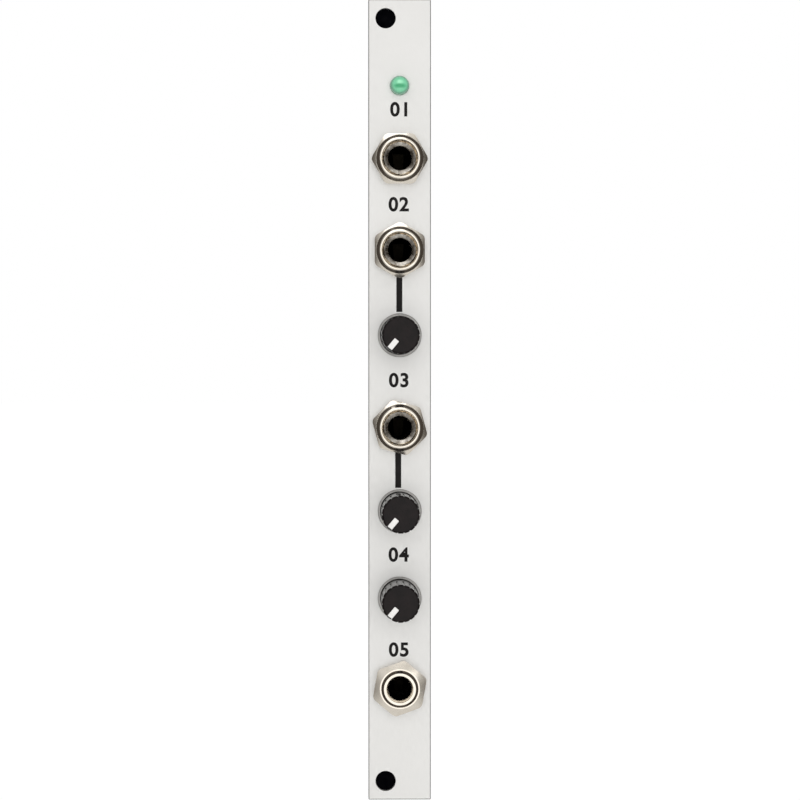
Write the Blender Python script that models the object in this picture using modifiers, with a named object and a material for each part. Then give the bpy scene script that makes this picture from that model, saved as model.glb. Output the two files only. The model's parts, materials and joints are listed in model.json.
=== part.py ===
# A very slim rack module for a modular synthesiser, seen from its front panel backwards.
# Every piece is modelled in the frame of the panel's face: X to the right, Y up the panel, Z out
# towards the player, with zero on the panel's rear face. One empty stands that frame up in the world,
# with the world's origin in the middle of the module.
import math

import bmesh
import bpy
from mathutils import Matrix

MM = 0.001

# Fits
SEAT_GAP = 0.05 * MM
FIT_GAP = 0.10 * MM
CUT_OVERRUN = 1.0 * MM
MERGE_DISTANCE = 0.001 * MM

# Front panel
PANEL_WIDTH = 10.0 * MM
PANEL_HEIGHT = 128.5 * MM
PANEL_THICKNESS = 2.0 * MM
PANEL_EDGE_BREAK = 0.15 * MM
RAIL_HOLE_DIAMETER = 3.2 * MM
RAIL_HOLE_INSET = 3.0 * MM
RAIL_HOLE_OFFSET = 2.25 * MM

# Rows of controls, as heights from the middle of the panel
LED_ROW = 50.5 * MM
JACK_ROWS = {
    "jack_1": 38.75 * MM,
    "jack_2": 24.1 * MM,
    "jack_3": -4.3 * MM,
    "jack_4": -46.2 * MM,
}
POT_ROWS = {
    "pot_1": 10.5 * MM,
    "pot_2": -17.75 * MM,
    "pot_3": -31.8 * MM,
}

# Control board, parallel to the panel
BOARD_THICKNESS = 1.6 * MM
CONTROL_BOARD_WIDTH = 9.8 * MM
CONTROL_BOARD_HEIGHT = 108.0 * MM
PIN_OVERHANG = 0.9 * MM

# Jack socket
JACK_WIDTH = 9.0 * MM
JACK_DEPTH = 10.0 * MM
JACK_TOP = 6.0 * MM
JACK_BOTTOM = 4.5 * MM
JACK_EDGE_BREAK = 0.25 * MM
JACK_BORE_RADIUS = 1.8 * MM
JACK_BARREL_RADIUS = 3.0 * MM
JACK_BARREL_LENGTH = 4.5 * MM
JACK_BARREL_CHAMFER = 0.4 * MM
JACK_FLANGE_RADIUS = 3.7 * MM
JACK_FLANGE_THICKNESS = 0.6 * MM
JACK_SPIGOT_RADIUS = 2.6 * MM
JACK_SPIGOT_LENGTH = 2.0 * MM
JACK_TIP_PIN_Y = 4.92 * MM
JACK_SWITCH_PIN_Y = -3.38 * MM
JACK_SLEEVE_PIN_Y = -6.48 * MM
MOUTH_RADIUS = {"collared": 1.95 * MM, "plain": 2.15 * MM}
MOUTH_SINK = {"collared": 0.25 * MM, "plain": 0.45 * MM}
JACK_STYLE = {"jack_1": "collared", "jack_2": "collared", "jack_3": "collared", "jack_4": "plain"}

# Sheet metal of the jack's three contacts
LEAF_THICKNESS = 0.2 * MM
LEAF_WIDTH = 2.0 * MM
PIN_WIDTH = 1.0 * MM
STRAP_THICKNESS = 0.36 * MM
STRAP_STAND_OFF = 0.1 * MM
STRAP_JOG_DEPTH = 8.4 * MM
TIP_CHAMBER_ROOF = 3.0 * MM
TIP_CHAMBER_WALL = 0.6 * MM
TIP_SPRING_REACH = 1.4 * MM
TIP_SPRING_REACH_DEPTH = 6.2 * MM
TIP_SPRING_END_DEPTH = 8.7 * MM
SWITCH_LEAF_END = 1.95 * MM
SWITCH_LEAF_RISE = 0.9 * MM
CONTACT_CLEARANCE = 0.3 * MM

# Hexagon nuts on the jacks: the first three have a round collar, the last is plain
NUT_ACROSS_FLATS = 8.0 * MM
NUT_CORNER_RADIUS = 4.42 * MM
NUT_HEX_HEIGHT = {"collared": 1.6 * MM, "plain": 1.8 * MM}
NUT_CHAMFER_RADIUS = {"collared": 3.75 * MM, "plain": 3.45 * MM}
NUT_CHAMFER_DROP = {"collared": 0.3 * MM, "plain": 0.5 * MM}
NUT_BORE_CHAMFER = 0.2 * MM
NUT_COLLAR_RADIUS = 3.55 * MM
NUT_COLLAR_HEIGHT = 1.3 * MM
NUT_COLLAR_ROUND = 0.25 * MM
NUT_TURN_DEG = {"jack_1": 0.0, "jack_2": 90.0, "jack_3": 45.0, "jack_4": 20.0}

# Potentiometer
POT_WIDTH = 9.5 * MM
POT_TOP = 5.0 * MM
POT_BOTTOM = 6.35 * MM
POT_DEPTH = 6.8 * MM
POT_PLATE_THICKNESS = 0.6 * MM
POT_PLATE_EDGE_BREAK = 0.4 * MM
POT_BARREL_RADIUS = 3.5 * MM
POT_BARREL_LENGTH = 5.0 * MM
POT_BARREL_CHAMFER = 0.3 * MM
POT_LUG_THICKNESS = 0.4 * MM
POT_LUG_WIDTH = 2.0 * MM
POT_TRACK_THICKNESS = 0.8 * MM
POT_TRACK_DEPTH = 2.3 * MM
POT_CHAMBER_RADIUS = 3.8 * MM
POT_PIN_Y = -7.5 * MM
POT_PIN_PITCH = 2.5 * MM
POT_PIN_WIDTH = 0.8 * MM
POT_PIN_THICKNESS = 0.3 * MM
ROTOR_RADIUS = 3.6 * MM
ROTOR_THICKNESS = 1.6 * MM
ROTOR_END_PLAY = 0.2 * MM
PIVOT_RADIUS = 1.0 * MM
PIVOT_LENGTH = 1.6 * MM

# Shaft of the potentiometer, with splines and a white pointer let into its end
SHAFT_RADIUS = 3.0 * MM
SHAFT_LENGTH = 15.0 * MM
SHAFT_CHAMFER = 0.28 * MM
SPLINE_LENGTH = 7.0 * MM
SPLINE_COUNT = 18
SPLINE_GROOVE_RADIUS = 0.28 * MM
POINTER_WIDTH = 0.86 * MM
POINTER_INNER_END = 0.95 * MM
POINTER_DEPTH = 0.9 * MM
POINTER_SEAT_GAP = 0.03 * MM
POINTER_REST_DEG = 220.0

# Indicator lamp
LED_RADIUS = 1.5 * MM
LED_LENGTH = 5.3 * MM
LED_FLANGE_RADIUS = 1.9 * MM
LED_FLANGE_THICKNESS = 1.0 * MM
LED_FLAT_DISTANCE = 1.6 * MM
LED_LEAD_SPACING = 2.54 * MM
LED_LEAD_WIDTH = 0.5 * MM

# Main board, square to the panel, and the strips that join it to the control board
MAIN_BOARD_GAP = 1.9 * MM
MAIN_BOARD_DEPTH = 19.6 * MM
MAIN_BOARD_HEIGHT = 104.0 * MM
MAIN_BOARD_CORNER = 5.0 * MM
HEADER_PITCH = 2.54 * MM
HEADER_PIN_WIDTH = 0.5 * MM
HEADER_HOLE_WIDTH = 0.8 * MM
STRIP_WIDTH = 2.5 * MM
STRIP_BLOCK_DEPTH = 2.5 * MM
SOCKET_DEPTH = 3.6 * MM
SOCKET_HOLE_DEPTH = 3.0 * MM
STRIP_TAIL_GAP = 1.3 * MM
STRIP_ROWS = {"upper": 31.0 * MM, "lower": -32.3 * MM}
STRIP_PIN_COUNT = {"upper": 8, "lower": 4}

# Power header on the main board's rear edge
SHROUD_WIDTH = 8.9 * MM
SHROUD_HEIGHT = 20.3 * MM
SHROUD_DEPTH = 9.1 * MM
SHROUD_END_WALL = 1.2 * MM
SHROUD_SIDE_WALL = 1.25 * MM
SHROUD_FLOOR = 2.5 * MM
SHROUD_KEY_WIDTH = 4.5 * MM
SHROUD_KEY_FLOOR = 1.2 * MM
SHROUD_EDGE_BREAK = 0.2 * MM
POWER_PIN_ROWS = 5
POWER_PIN_WIDTH = 0.64 * MM
POWER_PIN_RECESS = 1.2 * MM
POWER_PIN_TAIL = 3.4 * MM

# Parts soldered to the main board: height up the board, depth from its front edge, side, sizes
LEG_THICKNESS = 0.16 * MM
LEG_SHOULDER = 0.3 * MM
LEG_DROP = 0.2 * MM
LEG_FOOT = 0.6 * MM
LEG_ROOT = 0.2 * MM
CHIP_EDGE_BREAK = 0.12 * MM
CHIPS = {
    "microcontroller": {
        "side": 1, "row": 6.0 * MM, "depth": 9.8 * MM, "length": 6.5 * MM, "width": 4.4 * MM,
        "height": 1.1 * MM, "pitch": 0.65 * MM, "leg_width": 0.25 * MM, "leg_count": 10, "leg_sides": 2,
    },
    "converter_chip": {
        "side": 1, "row": -8.0 * MM, "depth": 9.8 * MM, "length": 4.9 * MM, "width": 3.9 * MM,
        "height": 1.5 * MM, "pitch": 1.27 * MM, "leg_width": 0.42 * MM, "leg_count": 4, "leg_sides": 2,
    },
    "output_amplifier": {
        "side": -1, "row": -27.0 * MM, "depth": 11.5 * MM, "length": 8.65 * MM, "width": 3.9 * MM,
        "height": 1.5 * MM, "pitch": 1.27 * MM, "leg_width": 0.42 * MM, "leg_count": 7, "leg_sides": 2,
    },
    "input_amplifier": {
        "side": -1, "row": 26.0 * MM, "depth": 11.5 * MM, "length": 4.9 * MM, "width": 3.9 * MM,
        "height": 1.5 * MM, "pitch": 1.27 * MM, "leg_width": 0.42 * MM, "leg_count": 4, "leg_sides": 2,
    },
    "voltage_regulator": {
        "side": -1, "row": 0.0, "depth": 9.0 * MM, "length": 6.5 * MM, "width": 3.5 * MM,
        "height": 1.6 * MM, "pitch": 2.3 * MM, "leg_width": 0.7 * MM, "leg_count": 3, "leg_sides": 1,
    },
}
BLOCKS = {
    "positive_rail_capacitor": {
        "side": 1, "row": 16.5 * MM, "depth": 14.5 * MM, "length": 6.0 * MM, "width": 3.2 * MM,
        "height": 2.5 * MM, "cap": 1.3 * MM,
    },
    "negative_rail_capacitor": {
        "side": 1, "row": -17.5 * MM, "depth": 14.5 * MM, "length": 6.0 * MM, "width": 3.2 * MM,
        "height": 2.5 * MM, "cap": 1.3 * MM,
    },
    "positive_rail_diode": {
        "side": -1, "row": 14.0 * MM, "depth": 15.0 * MM, "length": 4.3 * MM, "width": 2.6 * MM,
        "height": 2.2 * MM, "cap": 1.0 * MM,
    },
    "negative_rail_diode": {
        "side": -1, "row": -14.0 * MM, "depth": 15.0 * MM, "length": 4.3 * MM, "width": 2.6 * MM,
        "height": 2.2 * MM, "cap": 1.0 * MM,
    },
    "clock_crystal": {
        "side": 1, "row": -1.5 * MM, "depth": 9.8 * MM, "length": 2.5 * MM, "width": 3.2 * MM,
        "height": 0.8 * MM, "cap": 0.7 * MM,
    },
}
BLOCK_CAP_THICKNESS = 0.15 * MM
BLOCK_LIFT = 0.1 * MM
BLOCK_EDGE_BREAK = 0.15 * MM

# Facets on round pieces
ROUND_STEPS = 24
SMALL_ROUND_STEPS = 16
PIN_HOLE_STEPS = 6
GROOVE_SIDES = 4
DOME_STEPS = 5
ARC_STEPS = 10

# Places that follow from the sizes above, as distances along Z
PANEL_FRONT = PANEL_THICKNESS
BODY_FRONT = -SEAT_GAP
BOARD_FRONT = BODY_FRONT - JACK_DEPTH - SEAT_GAP
BOARD_REAR = BOARD_FRONT - BOARD_THICKNESS
PIN_END = BOARD_REAR - PIN_OVERHANG
POT_SHOULDER = BOARD_FRONT + SEAT_GAP + POT_DEPTH
POT_PLATE_REAR = POT_SHOULDER - POT_PLATE_THICKNESS
MAIN_BOARD_FRONT = BOARD_REAR - MAIN_BOARD_GAP
MAIN_BOARD_REAR = MAIN_BOARD_FRONT - MAIN_BOARD_DEPTH
MAIN_BOARD_SIDE = BOARD_THICKNESS / 2
STRIP_X = MAIN_BOARD_SIDE + SEAT_GAP + STRIP_WIDTH / 2
SHAFT_TOP = POT_SHOULDER + SHAFT_LENGTH
HEADER_REAR = MAIN_BOARD_REAR - SEAT_GAP - SHROUD_DEPTH

COLOURS = {
    "anodised_panel": ((0.80, 0.79, 0.76), 0.42, 0.6),
    "nickel": ((0.76, 0.72, 0.66), 0.22, 1.0),
    "black_moulding": ((0.018, 0.018, 0.020), 0.45, 0.0),
    "black_shaft": ((0.022, 0.022, 0.024), 0.38, 0.0),
    "white_pointer": ((0.90, 0.90, 0.88), 0.45, 0.0),
    "tinned_contact": ((0.72, 0.71, 0.68), 0.30, 1.0),
    "zinc_bushing": ((0.55, 0.55, 0.54), 0.38, 1.0),
    "track_board": ((0.30, 0.17, 0.08), 0.60, 0.0),
    "green_lens": ((0.10, 0.62, 0.34), 0.12, 0.0),
    "black_board": ((0.015, 0.018, 0.016), 0.40, 0.0),
    "chip_package": ((0.030, 0.030, 0.032), 0.55, 0.0),
    "tantalum_case": ((0.62, 0.42, 0.06), 0.50, 0.0),
    "crystal_lid": ((0.66, 0.65, 0.62), 0.30, 1.0),
}


def clear_scene():
    for old in list(bpy.data.objects):
        bpy.data.objects.remove(old)


def new_collection(name):
    collection = bpy.data.collections.new(name)
    bpy.context.scene.collection.children.link(collection)
    return collection


def new_material(name):
    colour, roughness, metallic = COLOURS[name]
    material = bpy.data.materials.new(name)
    material.use_nodes = True
    shader = material.node_tree.nodes["Principled BSDF"]
    shader.inputs["Base Color"].default_value = (*colour, 1.0)
    shader.inputs["Roughness"].default_value = roughness
    shader.inputs["Metallic"].default_value = metallic
    return material


clear_scene()
MODULE = new_collection("slim_rack_module")
TOOLS = new_collection("cutters")
MATERIALS = {name: new_material(name) for name in COLOURS}
FACE = bpy.data.objects.new("panel_face_frame", None)
FACE.rotation_euler = (math.pi / 2, 0, 0)
FACE.location.y = (SHAFT_TOP + HEADER_REAR) / 2
MODULE.objects.link(FACE)


def place(name, mesh, material, location=(0, 0, 0), turn=(0, 0, 0)):
    piece = bpy.data.objects.new(name, mesh)
    piece.parent = FACE
    piece.location = location
    piece.rotation_euler = turn
    if material is None:
        TOOLS.objects.link(piece)
        piece.hide_render = True
        piece.display_type = "WIRE"
    else:
        MODULE.objects.link(piece)
        mesh.materials.append(MATERIALS[material])
    return piece


def mesh_from(bm, name):
    mesh = bpy.data.meshes.new(name)
    bm.to_mesh(mesh)
    bm.free()
    return mesh


def add_box(bm, low, high):
    made = bmesh.ops.create_cube(bm, size=1.0)["verts"]
    for vert in made:
        for axis in range(3):
            middle = (low[axis] + high[axis]) / 2
            vert.co[axis] = middle + vert.co[axis] * (high[axis] - low[axis])


def boxes(name, material, corners, **where):
    bm = bmesh.new()
    for low, high in corners:
        add_box(bm, low, high)
    return place(name, mesh_from(bm, name), material, **where)


def drills(name, holes, back, front, steps, **where):
    bm = bmesh.new()
    for x, y, radius in holes:
        made = bmesh.ops.create_cone(
            bm, cap_ends=True, segments=steps, radius1=radius, radius2=radius, depth=front - back
        )
        bmesh.ops.translate(bm, verts=made["verts"], vec=(x, y, (front + back) / 2))
    return place(name, mesh_from(bm, name), None, **where)


def turned(name, material, profile, steps, closed=False, **where):
    """The profile lists (radius, height) down the outer side from the top, then back up the inside."""
    bm = bmesh.new()
    points = [bm.verts.new((radius, 0, height)) for radius, height in profile]
    for first, second in zip(points, points[1:]):
        bm.edges.new((first, second))
    if closed:
        bm.edges.new((points[-1], points[0]))
    piece = place(name, mesh_from(bm, name), material, **where)
    screw = piece.modifiers.new("turn", "SCREW")
    screw.axis = "Z"
    screw.steps = steps
    screw.render_steps = steps
    screw.use_merge_vertices = True
    screw.merge_threshold = MERGE_DISTANCE
    screw.use_smooth_shade = False
    return piece


def flat(name, material, outline, thickness, **where):
    curve = bpy.data.curves.new(name, "CURVE")
    curve.dimensions = "2D"
    curve.fill_mode = "BOTH"
    curve.extrude = thickness / 2
    spline = curve.splines.new("POLY")
    spline.points.add(len(outline) - 1)
    for point, (x, y) in zip(spline.points, outline):
        point.co = (x, y, 0, 1)
    spline.use_cyclic_u = True
    sketch = bpy.data.objects.new(name + "_sketch", curve)
    MODULE.objects.link(sketch)
    bpy.context.view_layer.update()
    mesh = bpy.data.meshes.new_from_object(sketch.evaluated_get(bpy.context.evaluated_depsgraph_get()))
    bpy.data.objects.remove(sketch)
    bm = bmesh.new()
    bm.from_mesh(mesh)
    bmesh.ops.remove_doubles(bm, verts=bm.verts, dist=MERGE_DISTANCE)
    bmesh.ops.recalc_face_normals(bm, faces=bm.faces)
    bpy.data.meshes.remove(mesh)
    return place(name, mesh_from(bm, name), material, **where)


def bent_strips(name, material, strips, thickness, **where):
    """Each strip is a path of (start corner, end corner) pairs, the two edges of the sheet at a bend."""
    bm = bmesh.new()
    for path in strips:
        rungs = [(bm.verts.new(start), bm.verts.new(end)) for start, end in path]
        for (a, b), (c, d) in zip(rungs, rungs[1:]):
            bm.faces.new((a, b, d, c))
    bmesh.ops.recalc_face_normals(bm, faces=bm.faces)
    piece = place(name, mesh_from(bm, name), material, **where)
    sheet = piece.modifiers.new("sheet", "SOLIDIFY")
    sheet.thickness = thickness
    sheet.offset = 0
    sheet.use_even_offset = True
    return piece


def bevel(piece, width):
    rounding = piece.modifiers.new("edges", "BEVEL")
    rounding.width = width
    rounding.segments = 1
    rounding.limit_method = "ANGLE"
    return piece


def combine(piece, tool, operation):
    boolean = piece.modifiers.new(tool.name, "BOOLEAN")
    boolean.operation = operation
    boolean.object = tool
    boolean.solver = "EXACT"
    return piece


def cut(piece, tool):
    return combine(piece, tool, "DIFFERENCE")


def fuse(piece, tool):
    return combine(piece, tool, "UNION")


def along_panel(path, half_widths):
    """A strip whose path lies in the plane of Y and Z, with its width across the panel."""
    return [((-half, y, z), (half, y, z)) for (y, z), half in zip(path, half_widths)]


def front_panel():
    low = (-PANEL_WIDTH / 2, -PANEL_HEIGHT / 2, 0)
    high = (PANEL_WIDTH / 2, PANEL_HEIGHT / 2, PANEL_THICKNESS)
    panel = bevel(boxes("front_panel", "anodised_panel", [(low, high)]), PANEL_EDGE_BREAK)
    back, front = -CUT_OVERRUN, PANEL_THICKNESS + CUT_OVERRUN
    rail_row = PANEL_HEIGHT / 2 - RAIL_HOLE_INSET
    holes = [(-RAIL_HOLE_OFFSET, end * rail_row, RAIL_HOLE_DIAMETER / 2) for end in (-1, 1)]
    cut(panel, drills("rail_holes", holes, back, front, ROUND_STEPS))
    holes = [(0, row, JACK_BARREL_RADIUS + FIT_GAP) for row in JACK_ROWS.values()]
    holes += [(0, row, POT_BARREL_RADIUS + FIT_GAP) for row in POT_ROWS.values()]
    holes += [(0, LED_ROW, LED_RADIUS + FIT_GAP)]
    return cut(panel, drills("panel_holes", holes, back, front, ROUND_STEPS))


def jack_nut(jack, row):
    style = JACK_STYLE[jack]
    bottom = PANEL_FRONT + SEAT_GAP
    hex_top = bottom + NUT_HEX_HEIGHT[style]
    chamfer_foot = hex_top - NUT_CHAMFER_DROP[style]
    bore = JACK_BARREL_RADIUS + SEAT_GAP
    bm = bmesh.new()
    height = NUT_HEX_HEIGHT[style] + NUT_COLLAR_HEIGHT + CUT_OVERRUN
    corner = NUT_ACROSS_FLATS / 2 / math.cos(math.pi / 6)
    made = bmesh.ops.create_cone(bm, cap_ends=True, segments=6, radius1=corner, radius2=corner, depth=height)
    bmesh.ops.rotate(
        bm, verts=made["verts"], cent=(0, 0, 0),
        matrix=Matrix.Rotation(math.radians(NUT_TURN_DEG[jack]) - math.pi / 2, 3, "Z"),
    )
    bmesh.ops.translate(bm, verts=made["verts"], vec=(0, 0, bottom - CUT_OVERRUN / 2 + height / 2))
    name = jack + "_nut"
    nut = place(name, mesh_from(bm, name), "nickel", location=(0, row, 0))
    side = [
        (NUT_CORNER_RADIUS, chamfer_foot),
        (NUT_CORNER_RADIUS, bottom),
        (bore, bottom),
    ]
    if style == "collared":
        top = hex_top + NUT_COLLAR_HEIGHT
        crown = [
            (bore, top - NUT_BORE_CHAMFER),
            (bore + NUT_BORE_CHAMFER / 2, top),
            (NUT_COLLAR_RADIUS - NUT_COLLAR_ROUND, top),
            (NUT_COLLAR_RADIUS, top - NUT_COLLAR_ROUND),
            (NUT_COLLAR_RADIUS, hex_top),
            (NUT_CHAMFER_RADIUS[style], hex_top),
        ]
    else:
        crown = [
            (bore, hex_top - NUT_BORE_CHAMFER),
            (bore + NUT_BORE_CHAMFER, hex_top),
            (NUT_CHAMFER_RADIUS[style], hex_top),
        ]
    envelope = turned(name + "_envelope", None, side + crown, ROUND_STEPS, closed=True, location=(0, row, 0))
    return combine(nut, envelope, "INTERSECT")


def jack_bushing(jack, row):
    style = JACK_STYLE[jack]
    mouth = BODY_FRONT + JACK_BARREL_LENGTH
    flange_rear = BODY_FRONT - JACK_FLANGE_THICKNESS
    tail = flange_rear - JACK_SPIGOT_LENGTH
    profile = [
        (JACK_BARREL_RADIUS - JACK_BARREL_CHAMFER, mouth),
        (JACK_BARREL_RADIUS, mouth - JACK_BARREL_CHAMFER),
        (JACK_BARREL_RADIUS, BODY_FRONT),
        (JACK_FLANGE_RADIUS, BODY_FRONT),
        (JACK_FLANGE_RADIUS, flange_rear),
        (JACK_SPIGOT_RADIUS, flange_rear),
        (JACK_SPIGOT_RADIUS, tail),
        (JACK_BORE_RADIUS, tail),
        (JACK_BORE_RADIUS, mouth - MOUTH_SINK[style]),
        (MOUTH_RADIUS[style], mouth),
    ]
    bushing = turned(jack + "_bushing", "nickel", profile, ROUND_STEPS, closed=True, location=(0, row, 0))
    middle = BODY_FRONT - JACK_FLANGE_THICKNESS / 2
    outside = -JACK_BOTTOM - STRAP_STAND_OFF - STRAP_THICKNESS / 2
    jog = BODY_FRONT - STRAP_JOG_DEPTH
    path = [
        (-JACK_SPIGOT_RADIUS, middle),
        (outside, middle),
        (outside, jog),
        (JACK_SLEEVE_PIN_Y, jog - (outside - JACK_SLEEVE_PIN_Y) / 2),
        (JACK_SLEEVE_PIN_Y, PIN_END),
    ]
    halves = [LEAF_WIDTH / 2] * 3 + [PIN_WIDTH / 2] * 2
    strap = bent_strips(
        jack + "_strap", None, [along_panel(path, halves)], STRAP_THICKNESS, location=(0, row, 0)
    )
    return fuse(bushing, strap)


def tip_chamber_far_side():
    return JACK_TOP - TIP_CHAMBER_WALL


def jack_housing(jack, row):
    rear = BODY_FRONT - JACK_DEPTH
    low = (-JACK_WIDTH / 2, -JACK_BOTTOM, rear)
    high = (JACK_WIDTH / 2, JACK_TOP, BODY_FRONT)
    name = jack + "_housing"
    housing = boxes(name, "black_moulding", [(low, high)], location=(0, row, 0))
    bevel(housing, JACK_EDGE_BREAK)
    seat = JACK_FLANGE_RADIUS + FIT_GAP
    seat_floor = BODY_FRONT - JACK_FLANGE_THICKNESS - SEAT_GAP
    spigot_floor = seat_floor - JACK_SPIGOT_LENGTH
    socket = [
        (seat, BODY_FRONT + CUT_OVERRUN),
        (seat, seat_floor),
        (JACK_SPIGOT_RADIUS + FIT_GAP, seat_floor),
        (JACK_SPIGOT_RADIUS + FIT_GAP, spigot_floor),
        (JACK_BORE_RADIUS + FIT_GAP, spigot_floor),
        (JACK_BORE_RADIUS + FIT_GAP, rear - CUT_OVERRUN),
        (0, rear - CUT_OVERRUN),
    ]
    socket = [(0, BODY_FRONT + CUT_OVERRUN)] + socket
    cut(housing, turned(name + "_bore", None, socket, SMALL_ROUND_STEPS, location=(0, row, 0)))
    slot = LEAF_WIDTH / 2 + CONTACT_CLEARANCE
    open_rear = rear - CUT_OVERRUN
    switch_roof = rear + LEAF_THICKNESS + 2 * CONTACT_CLEARANCE
    pockets = [
        ((-slot, 0, open_rear), (slot, tip_chamber_far_side(), BODY_FRONT - TIP_CHAMBER_ROOF)),
        ((-slot, JACK_SWITCH_PIN_Y - CONTACT_CLEARANCE, open_rear), (slot, CONTACT_CLEARANCE, switch_roof)),
    ]
    for number, pocket in enumerate(pockets, 1):
        cut(housing, boxes(f"{name}_pocket_{number}", None, [pocket], location=(0, row, 0)))
    strap_way = (
        (-slot, -JACK_BOTTOM - CUT_OVERRUN, seat_floor),
        (slot, -JACK_SPIGOT_RADIUS, BODY_FRONT + CUT_OVERRUN),
    )
    return cut(housing, boxes(name + "_strap_way", None, [strap_way], location=(0, row, 0)))


def jack_tip_contact(jack, row):
    roof = BODY_FRONT - TIP_CHAMBER_ROOF - CONTACT_CLEARANCE
    bend = JACK_TIP_PIN_Y - LEAF_WIDTH / 2
    rest = SWITCH_LEAF_END + LEAF_THICKNESS + SEAT_GAP
    path = [
        (JACK_TIP_PIN_Y, PIN_END),
        (JACK_TIP_PIN_Y, BODY_FRONT - JACK_DEPTH + CONTACT_CLEARANCE),
        (JACK_TIP_PIN_Y, roof - LEAF_WIDTH / 4),
        (JACK_TIP_PIN_Y - LEAF_WIDTH / 4, roof - LEAF_THICKNESS),
        (bend, roof - LEAF_WIDTH / 4),
        (TIP_SPRING_REACH, BODY_FRONT - TIP_SPRING_REACH_DEPTH),
        (rest, BODY_FRONT - TIP_SPRING_END_DEPTH),
        (rest, BODY_FRONT - JACK_DEPTH + SWITCH_LEAF_RISE),
    ]
    halves = [PIN_WIDTH / 2] * 2 + [LEAF_WIDTH / 2] * 6
    name = jack + "_tip_contact"
    return bent_strips(
        name, "tinned_contact", [along_panel(path, halves)], LEAF_THICKNESS, location=(0, row, 0)
    )


def jack_switch_contact(jack, row):
    level = BODY_FRONT - JACK_DEPTH + CONTACT_CLEARANCE
    path = [
        (JACK_SWITCH_PIN_Y, PIN_END),
        (JACK_SWITCH_PIN_Y, level),
        (SWITCH_LEAF_END, level),
        (SWITCH_LEAF_END, level + SWITCH_LEAF_RISE),
    ]
    halves = [PIN_WIDTH / 2] * 2 + [LEAF_WIDTH / 2] * 2
    name = jack + "_switch_contact"
    return bent_strips(
        name, "tinned_contact", [along_panel(path, halves)], LEAF_THICKNESS, location=(0, row, 0)
    )


def pot_bushing(pot, row):
    name = pot + "_bushing"
    half = POT_WIDTH / 2
    plate = ((-half, -POT_TOP, POT_PLATE_REAR), (half, POT_TOP, POT_SHOULDER))
    bracket = bevel(boxes(name, "zinc_bushing", [plate], location=(0, row, 0)), POT_PLATE_EDGE_BREAK / 2)
    end = POT_SHOULDER + POT_BARREL_LENGTH
    barrel = [
        (0, end),
        (POT_BARREL_RADIUS - POT_BARREL_CHAMFER, end),
        (POT_BARREL_RADIUS, end - POT_BARREL_CHAMFER),
        (POT_BARREL_RADIUS, POT_SHOULDER - POT_PLATE_THICKNESS / 2),
        (0, POT_SHOULDER - POT_PLATE_THICKNESS / 2),
    ]
    fuse(bracket, turned(name + "_barrel", None, barrel, ROUND_STEPS, location=(0, row, 0)))
    lug = POT_LUG_WIDTH / 2
    lugs = [
        ((-half, -lug, PIN_END), (-half + POT_LUG_THICKNESS, lug, POT_PLATE_REAR + POT_PLATE_THICKNESS / 2)),
        ((half - POT_LUG_THICKNESS, -lug, PIN_END), (half, lug, POT_PLATE_REAR + POT_PLATE_THICKNESS / 2)),
    ]
    fuse(bracket, boxes(name + "_lugs", None, lugs, location=(0, row, 0)))
    bore = [(0, row, SHAFT_RADIUS + FIT_GAP)]
    back, front = POT_PLATE_REAR - CUT_OVERRUN, end + CUT_OVERRUN
    return cut(bracket, drills(name + "_bore", bore, back, front, ROUND_STEPS))


def pot_case_half_width():
    return POT_WIDTH / 2 - POT_LUG_THICKNESS - SEAT_GAP


def pot_case(pot, row):
    name = pot + "_case"
    half = pot_case_half_width()
    front = POT_PLATE_REAR - SEAT_GAP
    rear = BOARD_FRONT + SEAT_GAP
    arc_centre = POT_TOP - half
    arc = [math.pi * step / ARC_STEPS for step in range(ARC_STEPS + 1)]
    outline = [(-half, -POT_BOTTOM), (half, -POT_BOTTOM)]
    outline += [(half * math.cos(angle), arc_centre + half * math.sin(angle)) for angle in arc]
    middle = (front + rear) / 2
    case = flat(name, "black_moulding", outline, front - rear, location=(0, row, middle))
    chamber = [(0, row, POT_CHAMBER_RADIUS)]
    floor = front - POT_TRACK_DEPTH
    cut(case, drills(name + "_chamber", chamber, floor, front + CUT_OVERRUN, SMALL_ROUND_STEPS))
    pocket = (
        (-track_half_width() - FIT_GAP, -POT_BOTTOM - CUT_OVERRUN, floor - POT_TRACK_THICKNESS - FIT_GAP),
        (track_half_width() + FIT_GAP, track_top() + FIT_GAP, floor + FIT_GAP),
    )
    cut(case, boxes(name + "_track_way", None, [pocket], location=(0, row, 0)))
    pivot = [(0, row, PIVOT_RADIUS + FIT_GAP)]
    pivot_floor = rotor_rear() - PIVOT_LENGTH - FIT_GAP
    return cut(case, drills(name + "_pivot", pivot, pivot_floor, floor, SMALL_ROUND_STEPS))


def track_half_width():
    return POT_CHAMBER_RADIUS - FIT_GAP


def track_top():
    return POT_CHAMBER_RADIUS - FIT_GAP


def rotor_front():
    return POT_PLATE_REAR - ROTOR_END_PLAY


def rotor_rear():
    return rotor_front() - ROTOR_THICKNESS


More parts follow.
